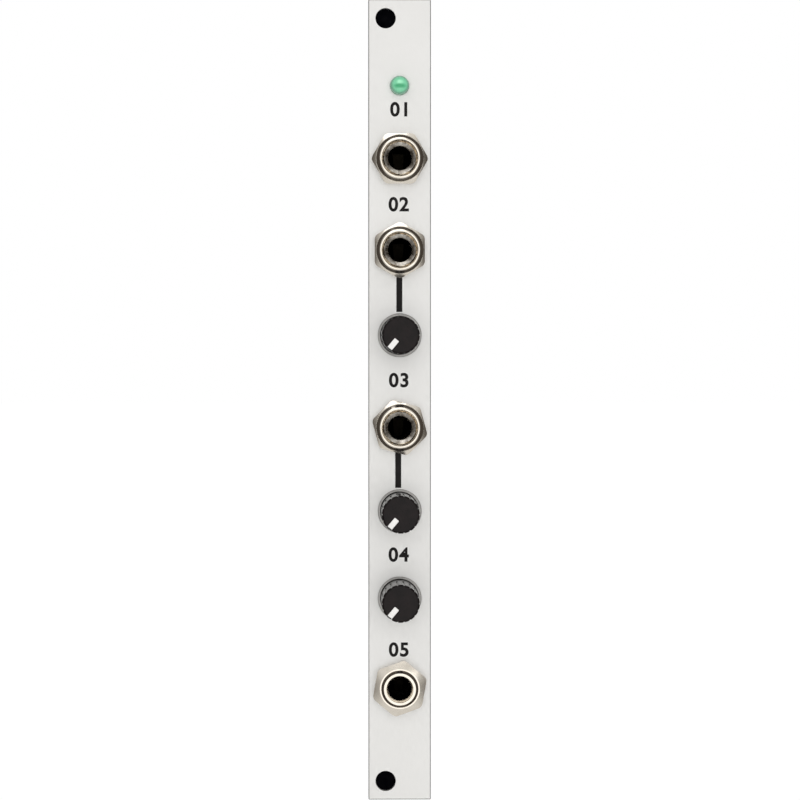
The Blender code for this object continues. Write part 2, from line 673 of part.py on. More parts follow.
def pot_track(pot, row):
    name = pot + "_track"
    front = POT_PLATE_REAR - SEAT_GAP - POT_TRACK_DEPTH
    rear = front - POT_TRACK_THICKNESS
    plate = (
        (-track_half_width(), POT_PIN_Y - POT_PIN_THICKNESS, rear),
        (track_half_width(), track_top(), front),
    )
    track = boxes(name, "track_board", [plate], location=(0, row, 0))
    half = POT_PIN_WIDTH / 2
    pins = []
    for place_number in (-1, 0, 1):
        x = place_number * POT_PIN_PITCH
        pins.append((
            (x - half, POT_PIN_Y - POT_PIN_THICKNESS / 2, PIN_END),
            (x + half, POT_PIN_Y + POT_PIN_THICKNESS / 2, (front + rear) / 2),
        ))
    fuse(track, boxes(name + "_pins", None, pins, location=(0, row, 0)))
    pivot = [(0, row, PIVOT_RADIUS + FIT_GAP)]
    bottom, top = rear - CUT_OVERRUN, front + CUT_OVERRUN
    return cut(track, drills(name + "_pivot", pivot, bottom, top, SMALL_ROUND_STEPS))


def pointer_angle():
    return math.radians(90 - POINTER_REST_DEG)


def spline_grooves(name, back, front, where):
    bm = bmesh.new()
    radius = SPLINE_GROOVE_RADIUS
    for number in range(SPLINE_COUNT):
        turn = Matrix.Rotation(2 * math.pi * (number + 1 / 2) / SPLINE_COUNT, 3, "Z")
        made = bmesh.ops.create_cone(
            bm, cap_ends=True, segments=GROOVE_SIDES, radius1=radius, radius2=radius, depth=front - back
        )
        bmesh.ops.translate(bm, verts=made["verts"], vec=(SHAFT_RADIUS, 0, (front + back) / 2))
        bmesh.ops.rotate(bm, verts=made["verts"], cent=(0, 0, 0), matrix=turn)
    return place(name, mesh_from(bm, name), None, **where)


def pot_shaft(pot, row):
    name = pot + "_shaft"
    top = SHAFT_TOP
    profile = [
        (0, top),
        (SHAFT_RADIUS - SHAFT_CHAMFER, top),
        (SHAFT_RADIUS, top - SHAFT_CHAMFER),
        (SHAFT_RADIUS, rotor_front()),
        (ROTOR_RADIUS, rotor_front()),
        (ROTOR_RADIUS, rotor_rear()),
        (PIVOT_RADIUS, rotor_rear()),
        (PIVOT_RADIUS, rotor_rear() - PIVOT_LENGTH),
        (0, rotor_rear() - PIVOT_LENGTH),
    ]
    where = {"location": (0, row, 0), "turn": (0, 0, pointer_angle())}
    shaft = turned(name, "black_shaft", profile, SPLINE_COUNT * 2, **where)
    cut(shaft, spline_grooves(name + "_grooves", top - SPLINE_LENGTH, top + CUT_OVERRUN, where))
    slot_half = POINTER_WIDTH / 2 + POINTER_SEAT_GAP
    slot = (
        (POINTER_INNER_END - POINTER_SEAT_GAP, -slot_half, top - POINTER_DEPTH - POINTER_SEAT_GAP),
        (SHAFT_RADIUS + CUT_OVERRUN, slot_half, top + CUT_OVERRUN),
    )
    return cut(shaft, boxes(name + "_slot", None, [slot], **where))


def pot_pointer(pot, row):
    top = SHAFT_TOP
    half = POINTER_WIDTH / 2
    bar = ((POINTER_INNER_END, -half, top - POINTER_DEPTH), (SHAFT_RADIUS - SHAFT_CHAMFER, half, top))
    turn = (0, 0, pointer_angle())
    return boxes(pot + "_pointer", "white_pointer", [bar], location=(0, row, 0), turn=turn)


def status_led():
    rear = BODY_FRONT - LED_FLANGE_THICKNESS
    dome_centre = rear + LED_LENGTH - LED_RADIUS
    arc = [math.pi / 2 * step / DOME_STEPS for step in range(DOME_STEPS + 1)]
    profile = [(LED_RADIUS * math.sin(angle), dome_centre + LED_RADIUS * math.cos(angle)) for angle in arc]
    profile += [
        (LED_RADIUS, BODY_FRONT),
        (LED_FLANGE_RADIUS, BODY_FRONT),
        (LED_FLANGE_RADIUS, rear),
        (0, rear),
    ]
    led = turned("status_led", "green_lens", profile, SMALL_ROUND_STEPS, location=(0, LED_ROW, 0))
    outside = LED_FLANGE_RADIUS + CUT_OVERRUN
    flat_side = (
        (LED_FLAT_DISTANCE, -outside, rear - CUT_OVERRUN),
        (outside, outside, BODY_FRONT + CUT_OVERRUN),
    )
    cut(led, boxes("led_flat", None, [flat_side], location=(0, LED_ROW, 0)))
    half = LED_LEAD_WIDTH / 2
    leads = []
    for side in (-1, 1):
        x = side * LED_LEAD_SPACING / 2
        leads.append(((x - half, -half, PIN_END), (x + half, half, rear + LED_FLANGE_THICKNESS / 2)))
    return fuse(led, boxes("led_leads", None, leads, location=(0, LED_ROW, 0)))


def control_board():
    low = (-CONTROL_BOARD_WIDTH / 2, -CONTROL_BOARD_HEIGHT / 2, BOARD_REAR)
    high = (CONTROL_BOARD_WIDTH / 2, CONTROL_BOARD_HEIGHT / 2, BOARD_FRONT)
    board = boxes("control_board", "black_board", [(low, high)])
    blade = math.hypot(PIN_WIDTH, STRAP_THICKNESS) / 2 + FIT_GAP
    holes = []
    for row in JACK_ROWS.values():
        holes += [(0, row + y, blade) for y in (JACK_TIP_PIN_Y, JACK_SWITCH_PIN_Y, JACK_SLEEVE_PIN_Y)]
    pin = math.hypot(POT_PIN_WIDTH, POT_PIN_THICKNESS) / 2 + FIT_GAP
    for row in POT_ROWS.values():
        holes += [(place_number * POT_PIN_PITCH, row + POT_PIN_Y, pin) for place_number in (-1, 0, 1)]
    lead = math.hypot(LED_LEAD_WIDTH, LED_LEAD_WIDTH) / 2 + FIT_GAP
    holes += [(side * LED_LEAD_SPACING / 2, LED_ROW, lead) for side in (-1, 1)]
    back, front = BOARD_REAR - CUT_OVERRUN, BOARD_FRONT + CUT_OVERRUN
    cut(board, drills("board_holes", holes, back, front, PIN_HOLE_STEPS))
    notches = []
    inner = POT_WIDTH / 2 - POT_LUG_THICKNESS - FIT_GAP
    outer = CONTROL_BOARD_WIDTH / 2 + CUT_OVERRUN
    half = POT_LUG_WIDTH / 2 + FIT_GAP
    for row in POT_ROWS.values():
        notches.append(((inner, row - half, back), (outer, row + half, front)))
        notches.append(((-outer, row - half, back), (-inner, row + half, front)))
    return cut(board, boxes("board_notches", None, notches))


def strip_pin_rows(end):
    count = STRIP_PIN_COUNT[end]
    return [STRIP_ROWS[end] + (number - (count - 1) / 2) * HEADER_PITCH for number in range(count)]


def strip_corners(end, rear, front):
    half = STRIP_PIN_COUNT[end] * HEADER_PITCH / 2
    low = (STRIP_X - STRIP_WIDTH / 2, STRIP_ROWS[end] - half, rear)
    return low, (STRIP_X + STRIP_WIDTH / 2, STRIP_ROWS[end] + half, front)


def strip_block_front():
    return BOARD_REAR - SEAT_GAP - SOCKET_DEPTH - SEAT_GAP


def strip_tail():
    return strip_block_front() - STRIP_BLOCK_DEPTH - STRIP_TAIL_GAP


def main_board():
    front = -MAIN_BOARD_FRONT
    rear = -MAIN_BOARD_REAR
    half = MAIN_BOARD_HEIGHT / 2
    outline = [
        (front, -half),
        (rear - MAIN_BOARD_CORNER, -half),
        (rear, -half + MAIN_BOARD_CORNER),
        (rear, half - MAIN_BOARD_CORNER),
        (rear - MAIN_BOARD_CORNER, half),
        (front, half),
    ]
    board = flat("main_board", "black_board", outline, BOARD_THICKNESS, turn=(0, math.pi / 2, 0))
    hole = HEADER_PIN_WIDTH / 2 + FIT_GAP
    reach = MAIN_BOARD_SIDE + CUT_OVERRUN
    holes = []
    for end in STRIP_ROWS:
        for y in strip_pin_rows(end):
            holes.append(((-reach, y - hole, strip_tail() - hole), (reach, y + hole, strip_tail() + hole)))
    return cut(board, boxes("main_board_holes", None, holes))


def socket_strip(end):
    name = end + "_socket_strip"
    front = BOARD_REAR - SEAT_GAP
    rear = front - SOCKET_DEPTH
    strip = boxes(name, "black_moulding", [strip_corners(end, rear, front)])
    hole = HEADER_HOLE_WIDTH / 2
    holes = []
    for y in strip_pin_rows(end):
        holes.append((
            (STRIP_X - hole, y - hole, rear - CUT_OVERRUN),
            (STRIP_X + hole, y + hole, rear + SOCKET_HOLE_DEPTH),
        ))
    return cut(strip, boxes(name + "_holes", None, holes))


def pin_strip(end):
    name = end + "_pin_strip"
    front = strip_block_front()
    rear = front - STRIP_BLOCK_DEPTH
    strip = boxes(name, "black_moulding", [strip_corners(end, rear, front)])
    pin = HEADER_PIN_WIDTH / 2
    pin_front = front + SOCKET_HOLE_DEPTH - CONTACT_CLEARANCE
    tail = strip_tail()
    straight = []
    tails = []
    for y in strip_pin_rows(end):
        straight.append(((STRIP_X - pin, y - pin, tail - pin), (STRIP_X + pin, y + pin, pin_front)))
        tails.append((
            (-MAIN_BOARD_SIDE - PIN_OVERHANG, y - pin, tail - pin),
            (STRIP_X + pin, y + pin, tail + pin),
        ))
    fuse(strip, boxes(name + "_pins", None, straight))
    return fuse(strip, boxes(name + "_tails", None, tails))


def power_header():
    front = MAIN_BOARD_REAR - SEAT_GAP
    rear = front - SHROUD_DEPTH
    half_width = SHROUD_WIDTH / 2
    half_height = SHROUD_HEIGHT / 2
    shroud = boxes(
        "power_header", "black_moulding",
        [((-half_width, -half_height, rear), (half_width, half_height, front))],
    )
    bevel(shroud, SHROUD_EDGE_BREAK)
    inside_x = half_width - SHROUD_SIDE_WALL
    inside_y = half_height - SHROUD_END_WALL
    floor = front - SHROUD_FLOOR
    well = ((-inside_x, -inside_y, rear - CUT_OVERRUN), (inside_x, inside_y, floor))
    cut(shroud, boxes("power_header_well", None, [well]))
    key = (
        (0, -SHROUD_KEY_WIDTH / 2, rear - CUT_OVERRUN),
        (half_width + CUT_OVERRUN, SHROUD_KEY_WIDTH / 2, floor - SHROUD_KEY_FLOOR),
    )
    cut(shroud, boxes("power_header_key", None, [key]))
    pin = POWER_PIN_WIDTH / 2
    pins = []
    for side in (-1, 1):
        x = side * HEADER_PITCH / 2
        for number in range(POWER_PIN_ROWS):
            y = (number - (POWER_PIN_ROWS - 1) / 2) * HEADER_PITCH
            low = (x - pin, y - pin, rear + POWER_PIN_RECESS)
            pins.append((low, (x + pin, y + pin, front + POWER_PIN_TAIL)))
    return fuse(shroud, boxes("power_header_pins", None, pins))


def on_main_board(spec):
    location = (spec["side"] * (MAIN_BOARD_SIDE + SEAT_GAP), spec["row"], MAIN_BOARD_FRONT - spec["depth"])
    return {"location": location, "turn": (0, spec["side"] * math.pi / 2, 0)}


def gull_wing_legs(spec):
    """Paths of the legs of one chip: the first row is at plus X and the second at minus X."""
    half = spec["width"] / 2
    waist = spec["height"] / 2
    foot = LEG_THICKNESS / 2
    path = [
        (half - LEG_ROOT, waist),
        (half + LEG_SHOULDER, waist),
        (half + LEG_SHOULDER + LEG_DROP, foot),
        (half + LEG_SHOULDER + LEG_DROP + LEG_FOOT, foot),
    ]
    half_leg = spec["leg_width"] / 2
    strips = []
    for quarter in (0, 2)[:spec["leg_sides"]]:
        cos, sin = round(math.cos(quarter * math.pi / 2)), round(math.sin(quarter * math.pi / 2))
        for number in range(spec["leg_count"]):
            middle = (number - (spec["leg_count"] - 1) / 2) * spec["pitch"]
            strip = []
            for out, height in path:
                edges = []
                for across in (middle - half_leg, middle + half_leg):
                    edges.append((cos * out - sin * across, sin * out + cos * across, height))
                strip.append(tuple(edges))
            strips.append(strip)
    return strips


def chip(name, spec):
    half_width, half_length = spec["width"] / 2, spec["length"] / 2
    low = (-half_width, -half_length, LEG_THICKNESS)
    high = (half_width, half_length, spec["height"])
    where = on_main_board(spec)
    package = bevel(boxes(name, "chip_package", [(low, high)], **where), CHIP_EDGE_BREAK)
    fuse(package, bent_strips(name + "_legs", None, gull_wing_legs(spec), LEG_THICKNESS, **where))
    if spec["leg_sides"] == 1:
        tab = (
            (-half_width - LEG_SHOULDER - LEG_FOOT, -half_length / 2, 0),
            (-half_width + LEG_ROOT, half_length / 2, 2 * LEG_THICKNESS),
        )
        fuse(package, boxes(name + "_tab", None, [tab], **where))
    return package


def block(name, spec, material):
    half_width, half_length = spec["width"] / 2, spec["length"] / 2
    where = on_main_board(spec)
    body = ((-half_width, -half_length, BLOCK_LIFT), (half_width, half_length, spec["height"]))
    piece = bevel(boxes(name, material, [body], **where), BLOCK_EDGE_BREAK)
    reach = half_length + BLOCK_CAP_THICKNESS
    side = half_width * 2 / 3
    caps = [
        ((-side, -reach, 0), (side, -half_length + spec["cap"], spec["height"] / 2)),
        ((-side, half_length - spec["cap"], 0), (side, reach, spec["height"] / 2)),
    ]
    return fuse(piece, boxes(name + "_terminals", None, caps, **where))


BLOCK_MATERIALS = {
    "positive_rail_capacitor": "tantalum_case",
    "negative_rail_capacitor": "tantalum_case",
    "positive_rail_diode": "chip_package",
    "negative_rail_diode": "chip_package",
    "clock_crystal": "crystal_lid",
}


def build():
    front_panel()
    for jack, row in JACK_ROWS.items():
        jack_nut(jack, row)
        jack_bushing(jack, row)
        jack_housing(jack, row)
        jack_tip_contact(jack, row)
        jack_switch_contact(jack, row)
    for pot, row in POT_ROWS.items():
        pot_bushing(pot, row)
        pot_case(pot, row)
        pot_track(pot, row)
        pot_shaft(pot, row)
        pot_pointer(pot, row)
    status_led()
    control_board()
    main_board()
    for end in STRIP_ROWS:
        socket_strip(end)
        pin_strip(end)
    power_header()
    for name, spec in CHIPS.items():
        chip(name, spec)
    for name, spec in BLOCKS.items():
        block(name, spec, BLOCK_MATERIALS[name])


build()
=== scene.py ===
import json
import math

import bmesh
import bpy
from mathutils import Matrix, Vector

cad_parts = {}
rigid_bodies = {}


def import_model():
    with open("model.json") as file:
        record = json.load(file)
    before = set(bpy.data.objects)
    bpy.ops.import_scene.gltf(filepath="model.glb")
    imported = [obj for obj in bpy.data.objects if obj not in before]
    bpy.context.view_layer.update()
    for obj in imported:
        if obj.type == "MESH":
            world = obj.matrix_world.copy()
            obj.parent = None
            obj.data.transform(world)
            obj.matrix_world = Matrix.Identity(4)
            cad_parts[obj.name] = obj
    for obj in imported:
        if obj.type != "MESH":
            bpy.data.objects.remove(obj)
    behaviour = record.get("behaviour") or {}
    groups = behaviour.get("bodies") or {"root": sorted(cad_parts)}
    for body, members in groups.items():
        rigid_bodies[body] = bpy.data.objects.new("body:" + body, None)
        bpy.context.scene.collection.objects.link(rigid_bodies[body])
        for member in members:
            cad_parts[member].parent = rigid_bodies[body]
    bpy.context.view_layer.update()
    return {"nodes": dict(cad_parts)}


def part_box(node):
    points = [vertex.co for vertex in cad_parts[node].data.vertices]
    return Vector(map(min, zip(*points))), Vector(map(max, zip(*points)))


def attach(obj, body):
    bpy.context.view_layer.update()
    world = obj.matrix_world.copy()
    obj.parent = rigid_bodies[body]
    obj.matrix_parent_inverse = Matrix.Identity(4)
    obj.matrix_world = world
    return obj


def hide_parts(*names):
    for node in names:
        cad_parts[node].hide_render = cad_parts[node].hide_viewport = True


for item in list(bpy.data.objects):
    bpy.data.objects.remove(item)
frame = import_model()

# Pieces are drawn in millimetres in the panel's own frame: x to the right, y up the panel,
# z out to the player, zero on the panel's rear face. standUp turns that into the frame's metres.
mm = 0.001
bothSides = (-1, 1)
depths = {
    "panelRear": -15.3,  # along the frame's Y; the rest are along the panel's own z
    "panelFront": 2.0, "seat": -0.05, "boardFront": -10.1, "boardRear": -11.7, "pinEnd": -12.6,
    "potShoulder": -3.25, "potPlateRear": -3.85, "mainFront": -13.6, "mainRear": -33.2, "shaftTop": 11.75,
    "headerFront": -33.25, "headerRear": -42.35,
}


def rowOf(node):
    low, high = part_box(node)
    return (low.z + high.z) / 2 / mm


jackRows = {f"jack_{number}": rowOf(f"jack_{number}_nut") for number in (1, 2, 3, 4)}
potRows = {f"pot_{number}": rowOf(f"pot_{number}_shaft") for number in (1, 2, 3)}
ledRow = rowOf("status_led")


def at(x=0.0, y=0.0, z=0.0):
    return Matrix.Translation((x, y, z))


def spun(angle, axis="Z"):
    return Matrix.Rotation(angle, 4, axis)


def standUp(row=0.0, turn=0.0):
    upright = spun(math.pi / 2, "X") @ spun(turn)
    return at(0, depths["panelRear"] * mm, row * mm) @ upright @ Matrix.Scale(mm, 4)


def link(item):
    bpy.context.scene.collection.objects.link(item)
    return item


def facing(start, end):
    return (Vector(end) - Vector(start)).to_track_quat("-Z", "Y").to_euler()


def meshOf(name, part):
    mesh = bpy.data.meshes.new(name)
    part.to_mesh(mesh)
    part.free()
    return mesh


# Shader nodes


def feed(tree, node, inputs):
    # each input gets a plain value, or the output that feeds it
    for socket, value in inputs.items():
        if isinstance(value, bpy.types.NodeSocket):
            tree.links.new(value, node.inputs[socket])
        else:
            node.inputs[socket].default_value = value
    return node


def wired(tree, kind, inputs=None, **settings):
    node = tree.nodes.new("ShaderNode" + kind)
    for name, value in settings.items():
        setattr(node, name, value)
    return feed(tree, node, inputs or {})


def mixed(tree, share, first, second):
    return wired(tree, "MixShader", {"Fac": share, 1: first.outputs[0], 2: second.outputs[0]})


def seenDirectly(tree):
    rays = wired(tree, "LightPath")
    either = {0: rays.outputs["Is Camera Ray"], 1: rays.outputs["Is Transmission Ray"]}
    return rays, wired(tree, "Math", either, operation="MAXIMUM").outputs[0]


# Camera and studio. A lamp has its place in metres, its size and its watts.

viewpoint = {"eye": (-9.0, -467.3, 9.14), "aim": (0.057, -17.3, -0.38), "lens": 126.15, "lift": 0.0038}
studio = {
    "floor": -64.25, "floorSize": 6.0, "floorWhite": 0.90, "floorShare": 0.94, "floorGlow": 1.03,
    "skyFill": 0.72, "skyTint": (1.0, 0.99, 0.975, 1), "roomWhite": 0.76, "sideDark": 0.06,
    "flatEdges": {"X": (0.42, 0.78), "Y": (0.50, 0.32)},
    "lamps": {
        "topSoftbox": ((-0.09, -0.56, 0.71), 0.60, 1.20),
        "lowSoftbox": ((0.10, -0.75, -0.05), 0.70, 0.92),
        "backSoftbox": ((0.30, 0.70, 0.55), 0.60, 2.2),
    },
}


def setCamera():
    data = bpy.data.cameras.new("photoCamera")
    data.lens, data.sensor_width, data.shift_y = viewpoint["lens"], 36, viewpoint["lift"]
    data.clip_start, data.clip_end = 0.01, 20
    camera = link(bpy.data.objects.new("photoCamera", data))
    eye, aim = Vector(viewpoint["eye"]) * mm, Vector(viewpoint["aim"]) * mm
    camera.location, camera.rotation_euler = eye, facing(eye, aim)
    bpy.context.scene.camera = camera


def setWorld():
    world = bpy.data.worlds.new("studioWorld")
    bpy.context.scene.world = world
    world.use_nodes = True
    tree = world.node_tree
    fill = feed(tree, tree.nodes["Background"], {"Color": studio["skyTint"], "Strength": studio["skyFill"]})
    rays, seen = seenDirectly(tree)

    # what gloss and metal see: a white room with dark flats at the player's left and right
    apart = wired(tree, "SeparateXYZ", {"Vector": wired(tree, "TexCoord").outputs["Generated"]})
    flats = {}
    for number, (axis, (start, end)) in enumerate(studio["flatEdges"].items()):
        reach = wired(tree, "Math", {0: apart.outputs[axis]}, operation="ABSOLUTE")
        edges = {"From Min": start, "From Max": end, "Value": reach.outputs[0]}
        flats[number] = wired(tree, "MapRange", edges, interpolation_type="SMOOTHSTEP").outputs["Result"]
    shade = wired(tree, "Math", flats, operation="MAXIMUM").outputs[0]
    bright, dark = studio["roomWhite"], studio["sideDark"]
    tones = {"A": (bright, bright, bright * 0.99, 1), "B": (dark, dark * 0.86, dark * 0.74, 1)}
    tone = wired(tree, "Mix", {**tones, "Factor": shade}, data_type="RGBA")
    room = wired(tree, "Background", {"Color": tone.outputs["Result"]})
    white = wired(tree, "Background", {"Color": (1, 1, 1, 1)})
    direct = mixed(tree, seen, mixed(tree, rays.outputs["Is Glossy Ray"], fill, room), white)
    tree.links.new(direct.outputs[0], tree.nodes["World Output"].inputs["Surface"])


def setFloor():
    grid = bmesh.new()
    bmesh.ops.create_grid(grid, x_segments=1, y_segments=1, size=studio["floorSize"] / 2)
    mesh = meshOf("studioFloor", grid)
    mesh.transform(at(z=studio["floor"] * mm))
    floor = link(bpy.data.objects.new("studioFloor", mesh))
    material = bpy.data.materials.new("paleFloor")
    material.use_nodes = True
    tree, shade = material.node_tree, studio["floorWhite"]
    matt = {"Base Color": (shade, shade, shade, 1), "Roughness": 0.8, "Specular IOR Level": 0.1}
    shader = feed(tree, tree.nodes["Principled BSDF"], matt)
    glow = wired(tree, "Emission", {"Strength": studio["floorGlow"]})
    share = {0: seenDirectly(tree)[1], 1: studio["floorShare"]}
    share = wired(tree, "Math", share, operation="MULTIPLY").outputs[0]
    seenFloor = mixed(tree, share, shader, glow)
    tree.links.new(seenFloor.outputs[0], tree.nodes["Material Output"].inputs["Surface"])
    mesh.materials.append(material)
    floor.visible_glossy = False  # gloss and metal see the world's white room in its place


def setLamps():
    for name, (place, size, watts) in studio["lamps"].items():
        data = bpy.data.lights.new(name, "AREA")
        data.size, data.energy = size, watts
        box = link(bpy.data.objects.new(name, data))
        box.location, box.rotation_euler = place, facing(place, (0, 0, 0))


bpy.context.scene.view_settings.view_transform = "Standard"
setCamera()
setWorld()
setFloor()
setLamps()
print("studio set")

# Finishes. Each has the light and the dark tone that the cloudy noise runs between, the clouds and the
# grains per metre, the roughness that the grain runs between, its relief in mm, and what else differs
# from plain plastic: "stretch" draws the grain out, "glow" is light of its own, and the patch list holds
# round patches of painted highlight and painted shade on the lamp's axis (tone, height over the axis,
# stretch, start, end, share).

finishes = {
    "satinPanel": (
        (0.812, 0.805, 0.790), (0.782, 0.775, 0.757), 60, 5200, (0.40, 0.50), 0.0012,
        {"stretch": (1, 1, 0.16), "metallic": 0.72},
    ),
    # painted shade: a dark bare-aluminium tone for the panel's side faces and edge chamfers, standing for the
    # shade on them
    "shadedMilledEdge": (
        (0.17, 0.17, 0.165), (0.13, 0.13, 0.125), 420, 5200, (0.30, 0.46), 0.002,
        {"stretch": (1, 1, 0.06), "metallic": 0.7},
    ),
    "printInk": (
        (0.014, 0.012, 0.012), (0.008, 0.007, 0.007), 900, 7000, (0.42, 0.60), 0.002, {"specular": 0.15},
    ),
    "warmNickel": (
        (0.86, 0.80, 0.71), (0.78, 0.715, 0.62), 700, 9000, (0.11, 0.21), 0.0005,
        {"stretch": (1, 0.3, 1), "metallic": 1.0},
    ),
    # painted shade: a mottled nickel, darkened as painted shade, for the recessed mouth of a collared socket
    "shadedCastNickel": (
        (0.62, 0.585, 0.53), (0.17, 0.145, 0.12), 1500, 3600, (0.22, 0.42), 0.030, {"metallic": 1.0},
    ),
    "zincPlate": (
        (0.50, 0.485, 0.465), (0.38, 0.37, 0.355), 900, 5200, (0.36, 0.52), 0.004, {"metallic": 0.9},
    ),
    "tinnedMetal": (
        (0.80, 0.79, 0.77), (0.68, 0.67, 0.65), 1100, 6000, (0.22, 0.38), 0.003, {"metallic": 1.0},
    ),
    "springBronze": (
        (0.74, 0.62, 0.44), (0.64, 0.52, 0.35), 800, 7000, (0.22, 0.36), 0.002,
        {"stretch": (1, 1, 0.12), "metallic": 1.0},
    ),
    "goldFlash": ((0.93, 0.72, 0.36), (0.86, 0.62, 0.28), 1500, 8000, (0.16, 0.28), 0.001, {"metallic": 1.0}),
    "solder": (
        (0.78, 0.785, 0.79), (0.66, 0.665, 0.675), 2600, 5000, (0.16, 0.34), 0.006, {"metallic": 1.0},
    ),
    "shaftPlastic": (
        (0.014, 0.010, 0.010), (0.009, 0.007, 0.007), 900, 6500, (0.26, 0.38), 0.003, {"specular": 0.15},
    ),
    "shaftSide": (
        (0.030, 0.027, 0.027), (0.020, 0.018, 0.018), 900, 6500, (0.16, 0.28), 0.003,
        {"stretch": (1, 0.15, 1)},
    ),
    # painted light: the white pointer glows a little, though it is no lamp
    "pointerPlastic": (
        (0.94, 0.935, 0.92), (0.90, 0.89, 0.87), 1500, 6000, (0.36, 0.50), 0.002, {"glow": 0.05},
    ),
    "housingPlastic": ((0.022, 0.022, 0.024), (0.014, 0.014, 0.015), 500, 4200, (0.42, 0.62), 0.008, {}),
    "headerPlastic": ((0.026, 0.026, 0.028), (0.017, 0.017, 0.018), 420, 5200, (0.34, 0.48), 0.004, {}),
    "brownLaminate": (
        (0.33, 0.185, 0.085), (0.23, 0.12, 0.05), 1300, 5600, (0.46, 0.64), 0.006, {"stretch": (0.3, 1, 1)},
    ),
    "lacqueredBoard": (
        (0.015, 0.017, 0.016), (0.009, 0.011, 0.010), 300, 2600, (0.20, 0.32), 0.005, {"coat": 0.35},
    ),
    "coveredTrack": (
        (0.030, 0.034, 0.032), (0.022, 0.026, 0.024), 700, 2600, (0.18, 0.28), 0.003, {"coat": 0.35},
    ),
    "glassFibre": (
        (0.46, 0.40, 0.24), (0.27, 0.23, 0.125), 2200, 5200, (0.55, 0.75), 0.012, {"stretch": (6, 6, 0.25)},
    ),
    "legendInk": ((0.84, 0.84, 0.82), (0.76, 0.76, 0.74), 1800, 6000, (0.50, 0.65), 0.003, {}),
    "chipEpoxy": ((0.034, 0.034, 0.036), (0.022, 0.022, 0.024), 1500, 6800, (0.52, 0.70), 0.010, {}),
    "tantalumYellow": ((0.72, 0.47, 0.075), (0.60, 0.37, 0.05), 900, 6000, (0.42, 0.56), 0.005, {}),
    "polarityBrown": ((0.17, 0.065, 0.03), (0.12, 0.045, 0.02), 900, 6000, (0.45, 0.60), 0.004, {}),
    "paleCeramic": ((0.62, 0.53, 0.40), (0.50, 0.42, 0.31), 1400, 6400, (0.40, 0.55), 0.004, {}),
    "whiteCeramic": ((0.80, 0.79, 0.76), (0.70, 0.69, 0.66), 1400, 6400, (0.45, 0.60), 0.004, {}),
    "nickelLid": (
        (0.72, 0.70, 0.65), (0.62, 0.60, 0.555), 1000, 6500, (0.22, 0.36), 0.002,
        {"stretch": (1, 0.08, 1), "metallic": 1.0},
    ),
    # painted highlight and painted shade: the patches paint a bright crescent above the lamp's axis, a dark
    # core below it and a darker rim, as the dome's reflection and refraction show them
    "mintLens": (
        (0.27, 0.76, 0.47), (0.22, 0.68, 0.41), 700, 5000, (0.05, 0.10), 0.001,
        {"transmission": 0.10, "ior": 1.46, "glow": 0.07, "paintedLightPatches": [
            ((0.42, 1.0, 0.64), 0.44, (0.85, 1.25), 0.1, 0.66, 1.0),
            ((0.03, 0.36, 0.15), -0.20, (0.72, 1.9), 0.2, 1.0, 0.95),
            ((0.17, 0.36, 0.26), 0.0, (1, 1), 1.38, 1.0, 0.9),
        ]},
    ),
    "shadedSpring": (
        (0.055, 0.044, 0.030), (0.030, 0.024, 0.017), 800, 7000, (0.40, 0.55), 0.002, {"metallic": 1.0},
    ),
    "boreShadow": (
        (0.004, 0.004, 0.005), (0.001, 0.001, 0.002), 900, 4000, (0.80, 0.95), 0.004, {"specular": 0.0},
    ),
}
plainPlastic = {
    "Metallic": ("metallic", 0.0), "IOR": ("ior", 1.5), "Specular IOR Level": ("specular", 0.5),
    "Coat Weight": ("coat", 0.0), "Transmission Weight": ("transmission", 0.0),
}


def layPaintedLight(tree, where, colour, tone, above, stretch, start, end, share):
    wide, tall = stretch
    place = {"Location": (0, 0, -(above + ledRow) * mm * tall), "Scale": (wide, 0, tall), "Vector": where}
    centred = wired(tree, "Mapping", place).outputs["Vector"]
    reach = wired(tree, "VectorMath", {0: centred}, operation="LENGTH").outputs["Value"]
    edges = {"From Min": start * mm, "From Max": end * mm, "To Min": share, "To Max": 0, "Value": reach}
    fade = wired(tree, "MapRange", edges, interpolation_type="SMOOTHSTEP").outputs["Result"]
    laid = {"A": colour, "B": (*tone, 1), "Factor": fade}
    return wired(tree, "Mix", laid, data_type="RGBA").outputs["Result"]


def makeFinish(name, light, dark, clouds, grains, rough, relief, more):
    material = bpy.data.materials.new(name)
    material.use_nodes = True
    tree = material.node_tree
    where = wired(tree, "TexCoord").outputs["Object"]
    stretch = {"Scale": more.get("stretch", (1, 1, 1)), "Vector": where}
    drawn = wired(tree, "Mapping", stretch).outputs["Vector"]
    cloud = wired(tree, "TexNoise", {"Scale": clouds, "Detail": 4, "Vector": where}).outputs["Fac"]
    grain = wired(tree, "TexNoise", {"Scale": grains, "Detail": 3, "Vector": drawn}).outputs["Fac"]
    ramp = wired(tree, "ValToRGB", {"Fac": cloud})
    for stop, position, tone in zip(ramp.color_ramp.elements, (0.32, 0.68), (dark, light)):
        stop.position, stop.color = position, (*tone, 1)
    colour = ramp.outputs["Color"]
    # painted highlight and painted shade: round patches of other tones laid on the lamp's axis
    for patch in more.get("paintedLightPatches", ()):
        colour = layPaintedLight(tree, where, colour, *patch)
    spread = {"From Min": 0.3, "From Max": 0.7, "To Min": rough[0], "To Max": rough[1], "Value": grain}
    bump = {"Strength": 0.6, "Distance": relief * mm, "Height": grain}
    shader = feed(tree, tree.nodes["Principled BSDF"], {
        "Base Color": colour, "Coat Roughness": 0.12,
        "Roughness": wired(tree, "MapRange", spread).outputs["Result"],
        "Normal": wired(tree, "Bump", bump).outputs["Normal"],
    })
    feed(tree, shader, {socket: more.get(key, plain) for socket, (key, plain) in plainPlastic.items()})
    if "glow" in more:
        feed(tree, shader, {"Emission Color": (*light, 1), "Emission Strength": more["glow"]})
    return material


